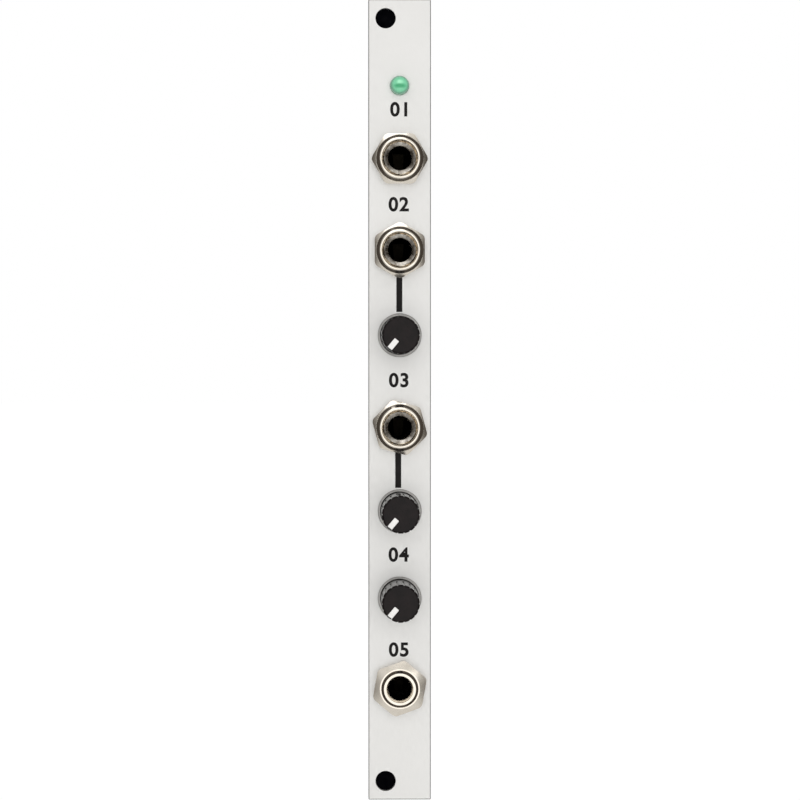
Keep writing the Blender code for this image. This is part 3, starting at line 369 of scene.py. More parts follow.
materials = {name: makeFinish(name, *spec) for name, spec in finishes.items()}
print("finishes mixed:", len(materials))

# Workshop: each function gives a bmesh in millimetres


def softenEdges(part, edges, width, segments=2):
    bmesh.ops.bevel(
        part, geom=edges, offset=width, offset_type="OFFSET", affect="EDGES", segments=segments,
        profile=0.5, material=-1, clamp_overlap=True,
    )


def rise(edge):
    return abs(edge.verts[0].co.z - edge.verts[1].co.z)


def block(corner, opposite, soften=0.0, segments=2):
    part = bmesh.new()
    bmesh.ops.create_cube(part, size=1)
    size = [abs(b - a) for a, b in zip(corner, opposite)]
    middle = [(a + b) / 2 for a, b in zip(corner, opposite)]
    bmesh.ops.scale(part, vec=size, verts=part.verts)
    bmesh.ops.translate(part, vec=middle, verts=part.verts)
    if soften:
        softenEdges(part, part.edges[:], soften, segments)
    return part


def brick(x, y, wide, tall, low, high, soften=0.0, segments=2):
    # a block round x and y, from one depth to another
    return block((x - wide / 2, y - tall / 2, low), (x + wide / 2, y + tall / 2, high), soften, segments)


def pillar(radius, low, high, x=0.0, y=0.0, steps=24):
    part, size = bmesh.new(), {"radius1": radius, "radius2": radius, "depth": high - low}
    bmesh.ops.create_cone(part, cap_ends=True, segments=steps, **size)
    bmesh.ops.translate(part, vec=(x, y, (low + high) / 2), verts=part.verts)
    return part


def eased(profile, reach, steps=3):
    # rounds the corners of an open line: each becomes a short curve that starts "reach" away
    points = [Vector(point) for point in profile]
    smooth = [tuple(points[0])]
    for before, corner, after in zip(points, points[1:], points[2:]):
        short = min((before - corner).length, (after - corner).length) * 0.45
        start = corner + (before - corner).normalized() * min(reach, short)
        end = corner + (after - corner).normalized() * min(reach, short)
        for step in range(steps + 1):
            t = step / steps
            smooth.append(tuple(start * (1 - t) ** 2 + corner * (2 * t * (1 - t)) + end * t ** 2))
    return smooth + [tuple(points[-1])]


def lathe(profile, steps=64, closed=True):
    part = bmesh.new()
    rim = [part.verts.new((radius, 0, height)) for radius, height in profile]
    line = [part.edges.new(pair) for pair in zip(rim, rim[1:])]
    if closed:
        line.append(part.edges.new((rim[-1], rim[0])))
    bmesh.ops.spin(
        part, geom=rim + line, cent=(0, 0, 0), axis=(0, 0, 1), dvec=(0, 0, 0), angle=2 * math.pi,
        steps=steps, use_merge=True, use_normal_flip=False, use_duplicate=False,
    )
    bmesh.ops.remove_doubles(part, verts=part.verts, dist=0.0001)
    bmesh.ops.recalc_face_normals(part, faces=part.faces)
    return part


def prism(edge, low, high, soften=0.0, segments=2):
    part = bmesh.new()
    base = part.faces.new([part.verts.new((x, y, low)) for x, y in edge])
    raised = bmesh.ops.extrude_face_region(part, geom=[base])["geom"]
    lifted = [item for item in raised if isinstance(item, bmesh.types.BMVert)]
    bmesh.ops.translate(part, vec=(0, 0, high - low), verts=lifted)
    bmesh.ops.recalc_face_normals(part, faces=part.faces)
    if soften:
        softenEdges(part, part.edges[:], soften, segments)
    return part


def ribbon(path, halfWidths, thickness, soften=0.0):
    # bent sheet metal: the path is its middle, in the plane of y and z, and the width runs along x
    part = bmesh.new()
    rungs = []
    for (y, z), half in zip(path, halfWidths):
        rungs.append((part.verts.new((-half, y, z)), part.verts.new((half, y, z))))
    for (a, b), (c, d) in zip(rungs, rungs[1:]):
        part.faces.new((a, b, d, c))
    bmesh.ops.recalc_face_normals(part, faces=part.faces)
    part.normal_update()
    for vert in part.verts:
        vert.co += vert.normal * thickness / 2
    bmesh.ops.solidify(part, geom=part.faces[:], thickness=thickness)
    bmesh.ops.recalc_face_normals(part, faces=part.faces)
    if soften:
        sharp = [edge for edge in part.edges if edge.is_manifold and edge.calc_face_angle() > 0.9]
        softenEdges(part, sharp, soften, 1)
    return part


def moved(part, matrix):
    bmesh.ops.transform(part, matrix=matrix, verts=part.verts)
    return part


def join(parts):
    whole = bmesh.new()
    for part in parts:
        mesh = meshOf("part", part)
        whole.from_mesh(mesh)
        bpy.data.meshes.remove(mesh)
    return whole


def carve(solid, tool, operation="DIFFERENCE"):
    pair = []
    for name, part in (("solid", solid), ("tool", tool)):
        mesh = meshOf(name, part)
        for number in range(4):
            mesh.materials.append(None)
        pair.append(link(bpy.data.objects.new(name, mesh)))
    boolean = pair[0].modifiers.new("carve", "BOOLEAN")
    boolean.operation, boolean.solver, boolean.object = operation, "EXACT", pair[1]
    bpy.context.view_layer.update()
    result = bmesh.new()
    result.from_mesh(pair[0].evaluated_get(bpy.context.evaluated_depsgraph_get()).to_mesh())
    for item in pair:
        mesh = item.data
        bpy.data.objects.remove(item)
        bpy.data.meshes.remove(mesh)
    bmesh.ops.remove_doubles(result, verts=result.verts, dist=0.0001)
    return result


def threadUp(part, radius, low, high, shape):
    # pushes the wall at this radius inwards along a helix
    for vert in part.verts:
        if low <= vert.co.z <= high and abs(vert.co.xy.length - radius) < 0.001:
            pitch = shape["pitch"]
            turn = math.atan2(vert.co.y, vert.co.x) / (2 * math.pi)
            wave = abs(((vert.co.z / pitch - turn) % 1) * 2 - 1)
            fade = min(1, (high - vert.co.z) / pitch * 2, (vert.co.z - low) / pitch * 2)
            vert.co.xy *= 1 - shape["threadDepth"] * wave * fade / radius
    return part


def threadRows(radius, low, high, pitch, perTurn=6):
    count = max(2, round((high - low) / pitch * perTurn))
    return [(radius, high + (low - high) * row / count) for row in range(count + 1)]


def spaced(count, pitch, middle=0.0):
    return [middle + (number - (count - 1) / 2) * pitch for number in range(count)]


def paint(part, pick):
    for face in part.faces:
        face.material_index = pick(face, face.calc_center_median())
    return part


def slump(mound, axis, reach, above, level):
    # solder that falls away past its joint
    for vert in mound.verts:
        if vert.co.z > above and abs(vert.co[axis]) > reach:
            vert.co.z = level
    return mound


def bisected(part, place, normal):
    everything = part.verts[:] + part.edges[:] + part.faces[:]
    bmesh.ops.bisect_plane(part, geom=everything, plane_co=place, plane_no=normal)


def drafted(width, length, low, high, draft):
    # a moulded block that narrows by the draft above and below its waist, at half of its height
    part, waist = brick(0, 0, width, length, low, high), high / 2
    bisected(part, (0, 0, waist), (0, 0, 1))
    for vert in part.verts:
        inset = draft * abs(vert.co.z - waist) / waist
        vert.co.x -= math.copysign(inset, vert.co.x)
        vert.co.y -= math.copysign(inset, vert.co.y)
    return part


def addPiece(name, part, finish, nodes=(), matrix=None, body="module", crease=32):
    mesh = meshOf(name, part)
    mesh.transform(standUp() if matrix is None else matrix)
    for item in [finish] if isinstance(finish, str) else finish:
        mesh.materials.append(materials[item])
    mesh.shade_smooth()
    mesh.set_sharp_from_angle(angle=math.radians(crease))
    piece = link(bpy.data.objects.new(name, mesh))
    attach(piece, body)
    if nodes:
        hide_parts(*nodes)
    return piece


def softCopy(node, width):
    # a copy of a node's solid in the panel's frame, with its edges broken
    part = bmesh.new()
    part.from_mesh(frame["nodes"][node].data)
    moved(part, standUp().inverted())
    bmesh.ops.remove_doubles(part, verts=part.verts, dist=0.0005)
    bmesh.ops.dissolve_limit(
        part, angle_limit=math.radians(1), use_dissolve_boundaries=False, verts=part.verts, edges=part.edges
    )
    crease = math.radians(25)
    sharp = [edge for edge in part.edges if edge.is_manifold and edge.calc_face_angle() > crease]
    softenEdges(part, sharp, width)
    bmesh.ops.dissolve_degenerate(part, dist=0.001, edges=part.edges)
    return part


# Front panel. The rail hole is x, y and radius, the others are radii.

panelShape = {
    "width": 10.0, "height": 128.5, "thickness": 2.0, "edgeBreak": 0.11,
    "railHole": (-2.25, 61.25, 1.62), "jackHole": 3.1, "shaftHole": 3.505, "lampHole": 1.54,
    "holeBreak": 0.02, "holeSteps": 72, "cardPlay": 0.005, "card": (0.9, 1.1),
}


def holeCutter(x, y, radius):
    shape = panelShape
    thick, lip = shape["thickness"], shape["holeBreak"]
    outer = radius + lip
    profile = [
        (0, 3), (outer + 1, 3), (outer, thick), (radius, thick - lip), (radius, lip), (outer, 0),
        (outer + 1, -1), (0, -1),
    ]
    return moved(lathe(profile, shape["holeSteps"], closed=False), at(x, y))


def makePanel():
    shape = panelShape
    half, tall = shape["width"] / 2, shape["height"] / 2
    plate = block((-half, -tall, 0), (half, tall, shape["thickness"]), shape["edgeBreak"], 1)
    x, rail, radius = shape["railHole"]
    holes = [(x, rail, radius), (x, -rail, radius), (0, ledRow, shape["lampHole"])]
    holes += [(0, row, shape["jackHole"]) for row in jackRows.values()]
    holes += [(0, row, shape["shaftHole"]) for row in potRows.values()]

    # painted shade: side faces and edge chamfers take the dark edge finish
    def pick(face, centre):
        atSide = max(abs(centre.x) - half, abs(centre.y) - tall) > -shape["edgeBreak"]
        return 1 if atSide and 0.1 < abs(face.normal.z) < 0.9 else 0

    plate = paint(carve(plate, join([holeCutter(*hole) for hole in holes])), pick)
    addPiece("frontPanel", plate, ["satinPanel", "shadedMilledEdge"], ["front_panel"])


def makeHoleCards():
    # a rack's dark inside, as the photograph shows it through the two rail holes; not part of the object
    x, rail, radius = panelShape["railHole"]
    for name, row in (("upperHoleShadeCard", rail), ("lowerHoleShadeCard", -rail)):
        # painted shade: each card is a near-black disc in a rail hole that stands for the shade seen through
        # it
        disc = pillar(radius - panelShape["cardPlay"], *panelShape["card"], x, row, panelShape["holeSteps"])
        card = addPiece(name, disc, "boreShadow")


makePanel()
makeHoleCards()
print("panel cut")

# Print on the panel: a plain number over each row, and bars that tie a socket to its shaft

legendShape = {
    "numbers": {"01": 46.7, "02": 31.5, "03": 3.3, "04": -24.75, "05": -40.05},
    "slide": -0.15, "capHeight": 2.35, "bold": 0.030, "spacing": 1.12, "drawnThick": 0.02, "thickness": 0.012,
    "bars": [("jack_2", "pot_1", -0.05), ("jack_3", "pot_2", -0.23)],
    "barWidth": 0.96, "barStart": 3.6, "barEnd": 3.74,
}


def figures(text, height):
    shape = legendShape
    curve = bpy.data.curves.new("figures", "FONT")
    curve.body, curve.align_x, curve.align_y = text, "CENTER", "CENTER"
    curve.offset, curve.space_character = shape["bold"], shape["spacing"]
    curve.extrude = shape["drawnThick"] / 2
    item = link(bpy.data.objects.new("figures", curve))
    bpy.context.view_layer.update()
    mesh = bpy.data.meshes.new_from_object(item.evaluated_get(bpy.context.evaluated_depsgraph_get()))
    bpy.data.objects.remove(item)
    part = bmesh.new()
    part.from_mesh(mesh)
    bpy.data.meshes.remove(mesh)
    bmesh.ops.remove_doubles(part, verts=part.verts, dist=0.00001)
    low = [min(vert.co[axis] for vert in part.verts) for axis in (0, 1)]
    high = [max(vert.co[axis] for vert in part.verts) for axis in (0, 1)]
    scale = shape["capHeight"] / (high[1] - low[1])
    centre = Vector(((high[0] + low[0]) / 2, (high[1] + low[1]) / 2, 0))
    bmesh.ops.translate(part, vec=-centre, verts=part.verts)
    bmesh.ops.scale(part, vec=(scale, scale, shape["thickness"] / shape["drawnThick"]), verts=part.verts)
    base = depths["panelFront"] + shape["thickness"] / 2
    bmesh.ops.translate(part, vec=(shape["slide"], height, base), verts=part.verts)

    # the font's fill leaves flat slivers where an outline's corners lie in one line
    flat = {face for face in part.faces if len(face.verts) == 3}
    inner = [edge for edge in part.edges if len(edge.link_faces) == 2 and flat.issuperset(edge.link_faces)]
    flat = [face for face in part.faces if face in flat]
    bmesh.ops.beautify_fill(part, faces=flat, edges=inner, method="AREA")
    bmesh.ops.recalc_face_normals(part, faces=part.faces)
    return part


def makeLegend():
    shape, top = legendShape, depths["panelFront"]
    for text, height in shape["numbers"].items():
        addPiece("number_" + text, figures(text, height), "printInk", crease=50)
    for jack, pot, x in shape["bars"]:
        half = shape["barWidth"] / 2
        low = (x - half, potRows[pot] + shape["barEnd"], top)
        high = (x + half, jackRows[jack] - shape["barStart"], top + shape["thickness"])
        addPiece(f"bar_{jack}_{pot}", block(low, high), "printInk")


makeLegend()
print("legend printed")

# Jack sockets. A mouth is its radius, how far it sinks, the land's radius and the dish's depth. The
# collar's turned rim is given inwards from its radius and down from its top.

jackShape = {
    "styles": {"jack_1": "collared", "jack_2": "collared", "jack_3": "collared", "jack_4": "plain"},
    "threadRadius": 2.98, "threadDepth": 0.27, "pitch": 0.5, "nutPlay": 0.045, "steps": 72,
    "flange": 3.7, "flangeThick": 0.6, "flangeBreak": 0.08, "spigot": 2.6, "spigotLong": 2.0, "bore": 1.8,
    "mouth": {"collared": (1.95, 0.45, 2.56, 0.2), "plain": (2.15, 0.45, 2.58, 0.0)}, "mouthHeight": 4.45,
    "strapThick": 0.36, "strapStart": -3.3, "strapOut": -4.78, "strapPin": -6.48, "jog": -8.45,
    "jogLong": 0.85, "strapHalves": [1.0, 1.0, 1.0, 0.5, 0.5], "boreShadeDisc": 2.5, "printThick": 0.012,
    "springShade": 0.9,
}
nutShape = {
    "acrossFlats": 8.0, "base": 2.05, "turn": {"jack_1": 0, "jack_2": 90, "jack_3": 45, "jack_4": 20},
    "hexHigh": {"collared": 1.6, "plain": 1.8}, "baseBreak": 0.15,
    "chamferRadius": {"collared": 3.8, "plain": 3.2}, "cornerRadius": 4.55, "cornerRound": 0.5,
    "chamferDrop": {"collared": 0.33, "plain": 0.49},
    "collarRadius": 3.78, "collarHigh": 1.3, "leadIn": 0.2, "edge": 0.02, "steps": 96,
    "collarTurn": [(0.66, 0.0), (0.5, 0.06), (0.08, 0.38), (0.0, 0.5)],
}


def makeNut(jack, row):
    shape, socket = nutShape, jackShape
    style = socket["styles"][jack]
    base, corner, low = shape["base"], shape["cornerRadius"], shape["base"] + shape["baseBreak"]
    hexTop = base + shape["hexHigh"][style]
    top, crown = hexTop, []
    if style == "collared":
        top, radius = hexTop + shape["collarHigh"], shape["collarRadius"]
        crown = [(radius - inwards, top - down) for inwards, down in shape["collarTurn"]] + [(radius, hexTop)]
    blank = pillar(shape["acrossFlats"] / 2 / math.cos(math.pi / 6), -3, 3, steps=6)
    softenEdges(blank, [edge for edge in blank.edges if rise(edge) > 1], shape["cornerRound"], 7)
    moved(blank, at(z=base + 2) @ spun(math.radians(shape["turn"][jack] - 90)))
    chamfer = hexTop - shape["chamferDrop"][style]
    profile = [
        (0, top), *crown, (shape["chamferRadius"][style], hexTop), (corner, chamfer), (corner, low),
        (corner - shape["baseBreak"], base), (0, base),
    ]
    nut = carve(blank, lathe(eased(profile, shape["edge"]), shape["steps"], closed=False), "INTERSECT")

    radius, lead = socket["threadRadius"] + socket["nutPlay"], shape["leadIn"]
    crest = radius - socket["threadDepth"]
    tap = [(0, top + 1), (crest + lead, top + 1), (crest + lead, top), (crest + 0.02, top - lead + 0.02)]
    tap += threadRows(radius, base + 0.3, top - lead - 0.05, socket["pitch"])
    tap += [(radius, low), (radius + 0.12, base), (radius + 0.12, base - 1), (0, base - 1)]
    plug = threadUp(lathe(tap, socket["steps"], closed=False), radius, base + 0.16, top - lead, socket)
    addPiece(jack + "Nut", carve(nut, plug), "warmNickel", [jack + "_nut"], standUp(row), crease=12)


def makeBushing(jack, row):
    shape = jackShape
    style = shape["styles"][jack]
    mouthRadius, sink, land, dish = shape["mouth"][style]
    top, seat, ease = shape["mouthHeight"], depths["seat"], shape["flangeBreak"]
    radius, flange, hole = shape["threadRadius"], shape["flange"], shape["bore"]
    rear = seat - shape["flangeThick"]
    tail, threadTop = rear - shape["spigotLong"], top - (radius - land)
    profile = [(mouthRadius + 0.03, top - dish), (land - 0.02, top), (radius - 0.01, threadTop + 0.01)]
    profile += threadRows(radius, seat + 0.3, threadTop, shape["pitch"])
    profile += [(radius, seat), (flange - ease, seat), (flange, seat - ease), (flange, rear + ease)]
    profile += [(flange - ease, rear), (shape["spigot"], rear), (shape["spigot"], tail)]
    profile += [(hole, tail), (hole, top - sink), (mouthRadius, top - dish - 0.03)]
    body = threadUp(lathe(profile, shape["steps"]), radius, seat + 0.3, threadTop, shape)

    # painted shade: the bore's inside takes the near-black boreShadow finish, and the mouth of a collared
    # socket, recessed in its nut, a darker mottled finish
    def pick(face, centre):
        ring = centre.xy.length
        if ring < hole + 0.02 and centre.z < top - sink:
            return 2
        return 1 if style == "collared" and centre.z > top - dish - 0.05 and ring < land else 0

    middle, pin = seat - shape["flangeThick"] / 2, shape["strapPin"]
    out, jog = shape["strapOut"], shape["jog"]
    path = [(shape["strapStart"], middle), (out, middle), (out, jog), (pin, jog - shape["jogLong"])]
    strap = ribbon([*path, (pin, depths["pinEnd"])], shape["strapHalves"], shape["strapThick"], 0.04)
    whole, metals = join([paint(body, pick), strap]), ["warmNickel", "shadedCastNickel", "boreShadow"]
    addPiece(jack + "Bushing", whole, metals, [jack + "_bushing"], standUp(row))


def makeJackBody(jack, row):
    housing = jack + "_housing"
    addPiece(jack + "Housing", softCopy(housing, 0.12), "housingPlastic", [housing])
    # painted shade: a near-black disc on the board behind the bore keeps the bore dark
    front, reach = depths["boardFront"], jackShape["bore"] + jackShape["springShade"]
    printed = pillar(jackShape["boreShadeDisc"], front, front + jackShape["printThick"], steps=40)
    addPiece(jack + "BoreShadeDisc", printed, "boreShadow", ["control_board"], standUp(row))

    def pick(face, centre):
        return 1 if math.hypot(centre.x, centre.y - row) < reach and centre.z > front else 0

    for contact in ("tip", "switch"):
        node = f"{jack}_{contact}_contact"
        spring, name = paint(softCopy(node, 0.03), pick), f"{jack}{contact.title()}Contact"
        addPiece(name, spring, ["springBronze", "shadedSpring"], [node])


for jack, row in jackRows.items():
    makeNut(jack, row)
    makeBushing(jack, row)
    makeJackBody(jack, row)
print("jack sockets threaded:", len(jackRows))

# Potentiometers. The pointer bar lies in a slot of the shaft's end, at the angle in the photograph.
# The track is its half width, lower end, thickness and depth behind the plate; the pins their row, pitch,
# width and thickness; a rivet its head's and foot's radius, its height and how far it is above a pin; the
# lug its thickness, width, how far it goes into the plate and its rounding. "threadRow" is where the neck
# ends, the thread's rows start and its cut starts, over the shoulder.

potShape = {
    "shaft": 3.0, "chamfer": 0.28, "edge": 0.06, "shaftSteps": 108, "steps": 72,
    "grooves": 18, "grooveRadius": 0.15, "grooveLong": 7.0, "grooveOut": 0.02,
    "rotor": 3.6, "rotorThick": 1.6, "endPlay": 0.2, "pivot": 1.0, "pivotLong": 1.6, "play": 0.1,
    "pointer": {
        "width": 0.86, "start": 0.95, "deep": 0.9, "gap": 0.03, "corner": 0.09, "soften": 0.03,
        "angle": 220.0,
    },
    "barrel": 3.5, "barrelLong": 5.0, "barrelChamfer": 0.03, "neck": 3.2, "leadIn": 0.05,
    "pitch": 0.75, "threadDepth": 0.34, "threadRow": (0.5, 0.6, 0.7), "root": 0.2,
    "plate": (9.5, 10.0), "plateSoften": 0.18, "lug": (0.4, 2.0, 0.35, 0.08), "pinSoften": 0.05,
    "track": (3.7, -7.8, 0.8, 2.35), "pins": (-7.5, 2.5, 0.8, 0.3), "rivet": (0.42, 0.5, 0.12, 0.45),
}


def makeShaft(pot, row):
    shape, top, bar = potShape, depths["shaftTop"], potShape["pointer"]
    radius, rotor, pivot, chamfer = shape["shaft"], shape["rotor"], shape["pivot"], shape["chamfer"]
    rotorFront = depths["potPlateRear"] - shape["endPlay"]
    rotorRear = rotorFront - shape["rotorThick"]
    end = rotorRear - shape["pivotLong"]
    profile = [
        (0, top), (radius - chamfer, top), (radius, top - chamfer), (radius, rotorFront),
        (rotor, rotorFront), (rotor, rotorRear), (pivot, rotorRear), (pivot, end), (0, end),
    ]
    shaft = lathe(eased(profile, shape["edge"]), shape["shaftSteps"], closed=False)
    grooves, out = [], radius + shape["grooveOut"]
    for number in range(shape["grooves"]):
        groove = pillar(shape["grooveRadius"], top - shape["grooveLong"], top + 1, out, steps=10)
        grooves.append(moved(groove, spun(2 * math.pi * (number + 0.5) / shape["grooves"])))
    half, start, gap, corner = bar["width"] / 2, bar["start"], bar["gap"], bar["corner"]
    slot = block((start - gap, -half - gap, top - bar["deep"] - gap), (5, half + gap, top + 1))
    shaft = carve(carve(shaft, join(grooves)), slot)
    shaft = paint(shaft, lambda face, centre: 0 if centre.z > top - chamfer / 2 else 1)
    where, body = standUp(row, math.radians(90 - bar["angle"])), pot + "_rotor"
    looks, nodes = ["shaftPlastic", "shaftSide"], [pot + "_shaft"]
    addPiece(pot + "Shaft", shaft, looks, nodes, where, body, crease=28)
    tip = radius - chamfer
    edge = [
        (start + corner, -half), (tip, -half), (tip, half), (start + corner, half), (start, half - corner),
        (start, corner - half),
    ]
    pointer = prism(edge, top - bar["deep"], top, bar["soften"])
    addPiece(pot + "Pointer", pointer, "pointerPlastic", [pot + "_pointer"], where, body)


def makePotBushing(pot, row):
    shape, shoulder, plateRear = potShape, depths["potShoulder"], depths["potPlateRear"]
    radius, neck, end = shape["barrel"], shape["neck"], shoulder + shape["barrelLong"]
    wide, tall = shape["plate"]
    plate = brick(0, 0, wide, tall, plateRear, shoulder, shape["plateSoften"], 3)
    threadTop, root = end - shape["barrelChamfer"], plateRear + shape["root"]
    neckTop, threadLow, cutLow = (shoulder + row for row in shape["threadRow"])
    profile = [(0, end), (radius - shape["barrelChamfer"], end)]
    profile += threadRows(radius, threadLow, threadTop, shape["pitch"], 8)
    profile += [(neck, neckTop), (neck, root), (0, root)]
    barrel = lathe(profile, shape["steps"], closed=False)
    bracket = carve(plate, threadUp(barrel, radius, cutLow, threadTop, shape), "UNION")
    thick, wideLug, deep, soften = shape["lug"]
    for side in bothSides:
        outer = (side * wide / 2, -wideLug / 2, depths["pinEnd"])
        inner = (side * (wide / 2 - thick), wideLug / 2, plateRear + deep)
        bracket = carve(bracket, block(outer, inner, soften), "UNION")
    bore, lead = shape["shaft"] + shape["play"], shape["leadIn"]
    profile = [
        (0, end + 1), (bore + 1 + lead, end + 1), (bore + lead, end), (bore, end - lead),
        (bore, plateRear - 1), (0, plateRear - 1),
    ]
    bracket = carve(bracket, lathe(profile, shape["steps"], closed=False))
    nodes, where = [pot + "_bushing"], standUp(row)
    addPiece(pot + "Bushing", bracket, "zincPlate", nodes, where, crease=26)


def makePotBody(pot, row):
    shape, nodes, where = potShape, [pot + "_track"], standUp(row)
    addPiece(pot + "Case", softCopy(pot + "_case", 0.12), "housingPlastic", [pot + "_case"])
    half, low, thick, deep = shape["track"]
    front = depths["potPlateRear"] - deep
    rear = front - thick
    hole = pillar(shape["pivot"] + shape["play"], rear - 1, front + 1, steps=32)
    plate = carve(block((-half, low, rear), (half, half, front), shape["pinSoften"], 1), hole)
    pinY, pitch, pinWide, pinThick = shape["pins"]
    head, foot, high, above = shape["rivet"]
    metal = []
    for x in spaced(3, pitch):
        rivet = lathe([(0, rear - high), (head, rear - high), (foot, rear), (0, rear)], 20, closed=False)
        pin = brick(x, pinY, pinWide, pinThick, depths["pinEnd"], rear, shape["pinSoften"], 1)
        metal += [pin, moved(rivet, at(x, pinY + above))]
    addPiece(pot + "Track", plate, "brownLaminate", nodes, where)
    addPiece(pot + "Pins", join(metal), "tinnedMetal", nodes, where)


for pot, row in potRows.items():
    makeShaft(pot, row)
    makePotBushing(pot, row)
    makePotBody(pot, row)
print("potentiometers turned:", len(potRows))

# Indicator lamp

lampShape = {
    "radius": 1.5, "long": 5.3, "domeSteps": 12, "steps": 64, "flange": 1.9, "flangeThick": 1.0, "flat": 1.6,
    "flangeBreak": 0.1, "lead": 0.5, "leadSoften": 0.06, "leadGap": 0.02, "spacing": 2.54,
}


def quarter(steps):
    # the cosine and sine of each step of a quarter turn
    angles = [math.pi / 2 * step / steps for step in range(steps + 1)]
    return [(math.cos(angle), math.sin(angle)) for angle in angles]


def makeLamp(row):
    shape, seat, nodes, where = lampShape, depths["seat"], ["status_led"], standUp(row)
    radius, flange, ease = shape["radius"], shape["flange"], shape["flangeBreak"]
    rear = seat - shape["flangeThick"]
    centre = rear + shape["long"] - radius
    profile = [(radius * across, centre + radius * up) for up, across in quarter(shape["domeSteps"])]
    profile += [(radius, seat), (flange - ease, seat), (flange, seat - ease), (flange, rear), (0, rear)]
    flat = block((shape["flat"], -3, rear - 1), (4, 3, seat + 0.2))
    lens = carve(lathe(profile, shape["steps"], closed=False), flat)
    addPiece("lampLens", lens, "mintLens", nodes, where, crease=40)
    wide, soften, depth = shape["lead"], shape["leadSoften"], (depths["pinEnd"], rear - shape["leadGap"])
    leads = [brick(x, 0, wide, wide, *depth, soften, 1) for x in spaced(2, shape["spacing"])]
    addPiece("lampLeads", join(leads), "tinnedMetal", nodes, where)


makeLamp(ledRow)
print("lamp set")

# Circuit boards. The control board is drawn in the panel's frame. The main board's two faces each have
# their own frame: x is the depth behind the panel times the side, y the row, z out of the face. A hole is
# x, y, its radius and the radius of its pin's end.

boardShape = {
    "thickness": 1.6, "edgeBreak": 0.06, "padThick": 0.035, "padRing": 0.38, "ringSteps": 28,
    "control": (9.8, 108.0), "notchInner": 4.25, "notchHalf": 1.1,
    "jackPins": (4.92, -3.38, -6.48), "jackHole": (0.63, 0.56), "potPinRow": -7.5, "potPinPitch": 2.5,
    "potHole": (0.53, 0.45), "lampPitch": 2.54, "lampHole": (0.46, 0.38),
    "mainHeight": 104.0, "mainCorner": 5.0, "tailDepth": 19.2, "tailHole": (0.44, 0.34),
    "fillet": 0.62, "via": (0.15, 0.32), "track": 0.32, "trackThick": 0.018, "line": 0.14,
    "printThick": 0.012, "ringBreak": 0.02, "viaFlare": 0.03, "viaSteps": 16, "solderInset": 0.05,
}


def onMainBoard(side, lift=0.0, row=0.0, z=0.0):
    out = side * (boardShape["thickness"] / 2 + lift)
    return standUp() @ at(out, row, z) @ spun(side * math.pi / 2, "Y")


def flatRing(x, y, hole, outer, surface, high, flare=0.0, steps=boardShape["ringSteps"]):
    top, rim = surface + high, outer - boardShape["ringBreak"]
    profile = [(hole, surface), (outer, surface), (rim, top), (hole + flare, top)]
    return moved(lathe(profile, steps), at(x, y))


def solderCone(x, y, pad, pin, surface):
    high = boardShape["fillet"]
    profile = [
        (0, 0.02), (pad, 0.02), (pad * 0.93, 0.07), (pad * 0.78, 0.17), (pin * 1.25, high * 0.55),
        (pin * 1.08, high * 0.8), (pin, high), (pin * 0.8, high + 0.03), (0, high + 0.03),
    ]
    turned = [(radius, surface - height) for radius, height in profile]
    return moved(lathe(turned, boardShape["ringSteps"], closed=False), at(x, y))


def trackRun(points, surface, out=1, width=boardShape["track"]):
    # a copper line under the lacquer: straight runs with round corners
    low, high = sorted((surface, surface + out * boardShape["trackThick"]))
    runs = []
    for (x0, y0), (x1, y1) in zip(points, points[1:]):
        run = block((0, -width / 2, low), (math.hypot(x1 - x0, y1 - y0), width / 2, high))
        runs.append(moved(run, at(x0, y0) @ spun(math.atan2(y1 - y0, x1 - x0))))
    return runs + [pillar(width / 2, low, high, x, y, 10) for x, y in points]


def viaRings(places, surface, high):
    ring = (*boardShape["via"], surface, high, boardShape["viaFlare"], boardShape["viaSteps"])
    return join([flatRing(x, y, *ring) for x, y in places])


def printedFrame(width, height, surface):
    # a printed rectangle round a part
    line, top, sides = boardShape["line"], surface + boardShape["printThick"], []
    for sign in bothSides:
        sides.append(brick(sign * width / 2, 0, line, height, surface, top))
        sides.append(brick(0, sign * height / 2, width, line, surface, top))
    return sides


def drillBoard(name, node, solder, board, holes, front, rear, where, notches=()):
    shape = boardShape
    drills = [pillar(radius, rear - 1, front + 1, x, y, shape["ringSteps"]) for x, y, radius, pin in holes]

    def pick(face, centre):
        # lacquer on the two faces, bare glass fibre round the edge, plating in the holes
        if abs(face.normal.z) > 0.9:
            return 0
        near = (math.hypot(centre.x - x, centre.y - y) < radius + 0.02 for x, y, radius, pin in holes)
        return 2 if any(near) else 1

    board = paint(carve(board, join([*drills, *notches])), pick)
    addPiece(name, board, ["lacqueredBoard", "glassFibre", "tinnedMetal"], [node], where)
    rings, cones, thick = [], [], shape["padThick"]
    for x, y, radius, pin in holes:
        outer = radius + shape["padRing"]
        rings += [flatRing(x, y, radius, outer, *pad) for pad in ((front, thick), (rear, -thick))]
        cones.append(solderCone(x, y, outer - shape["solderInset"], pin, rear))
    addPiece(name + "Pads", join(rings), "tinnedMetal", matrix=where)
    addPiece(solder, join(cones), "solder", matrix=where, crease=50)


# two long tracks step sideways at six rows; a jack's and a potentiometer's tracks end in a via, given as
# its x and the distances from the row to the track's start, its bend and the via
controlCopper = {
    "inner": 3.25, "outer": 3.75, "steps": (-51.5, -41, -40.5, 42, 42.5, 51.5), "longWidth": 0.5,
    "jackStart": 0.9, "jackVia": (4.35, 1.6, 2.2), "potVia": (1.6, 0.9, 2.0, 2.9),
}


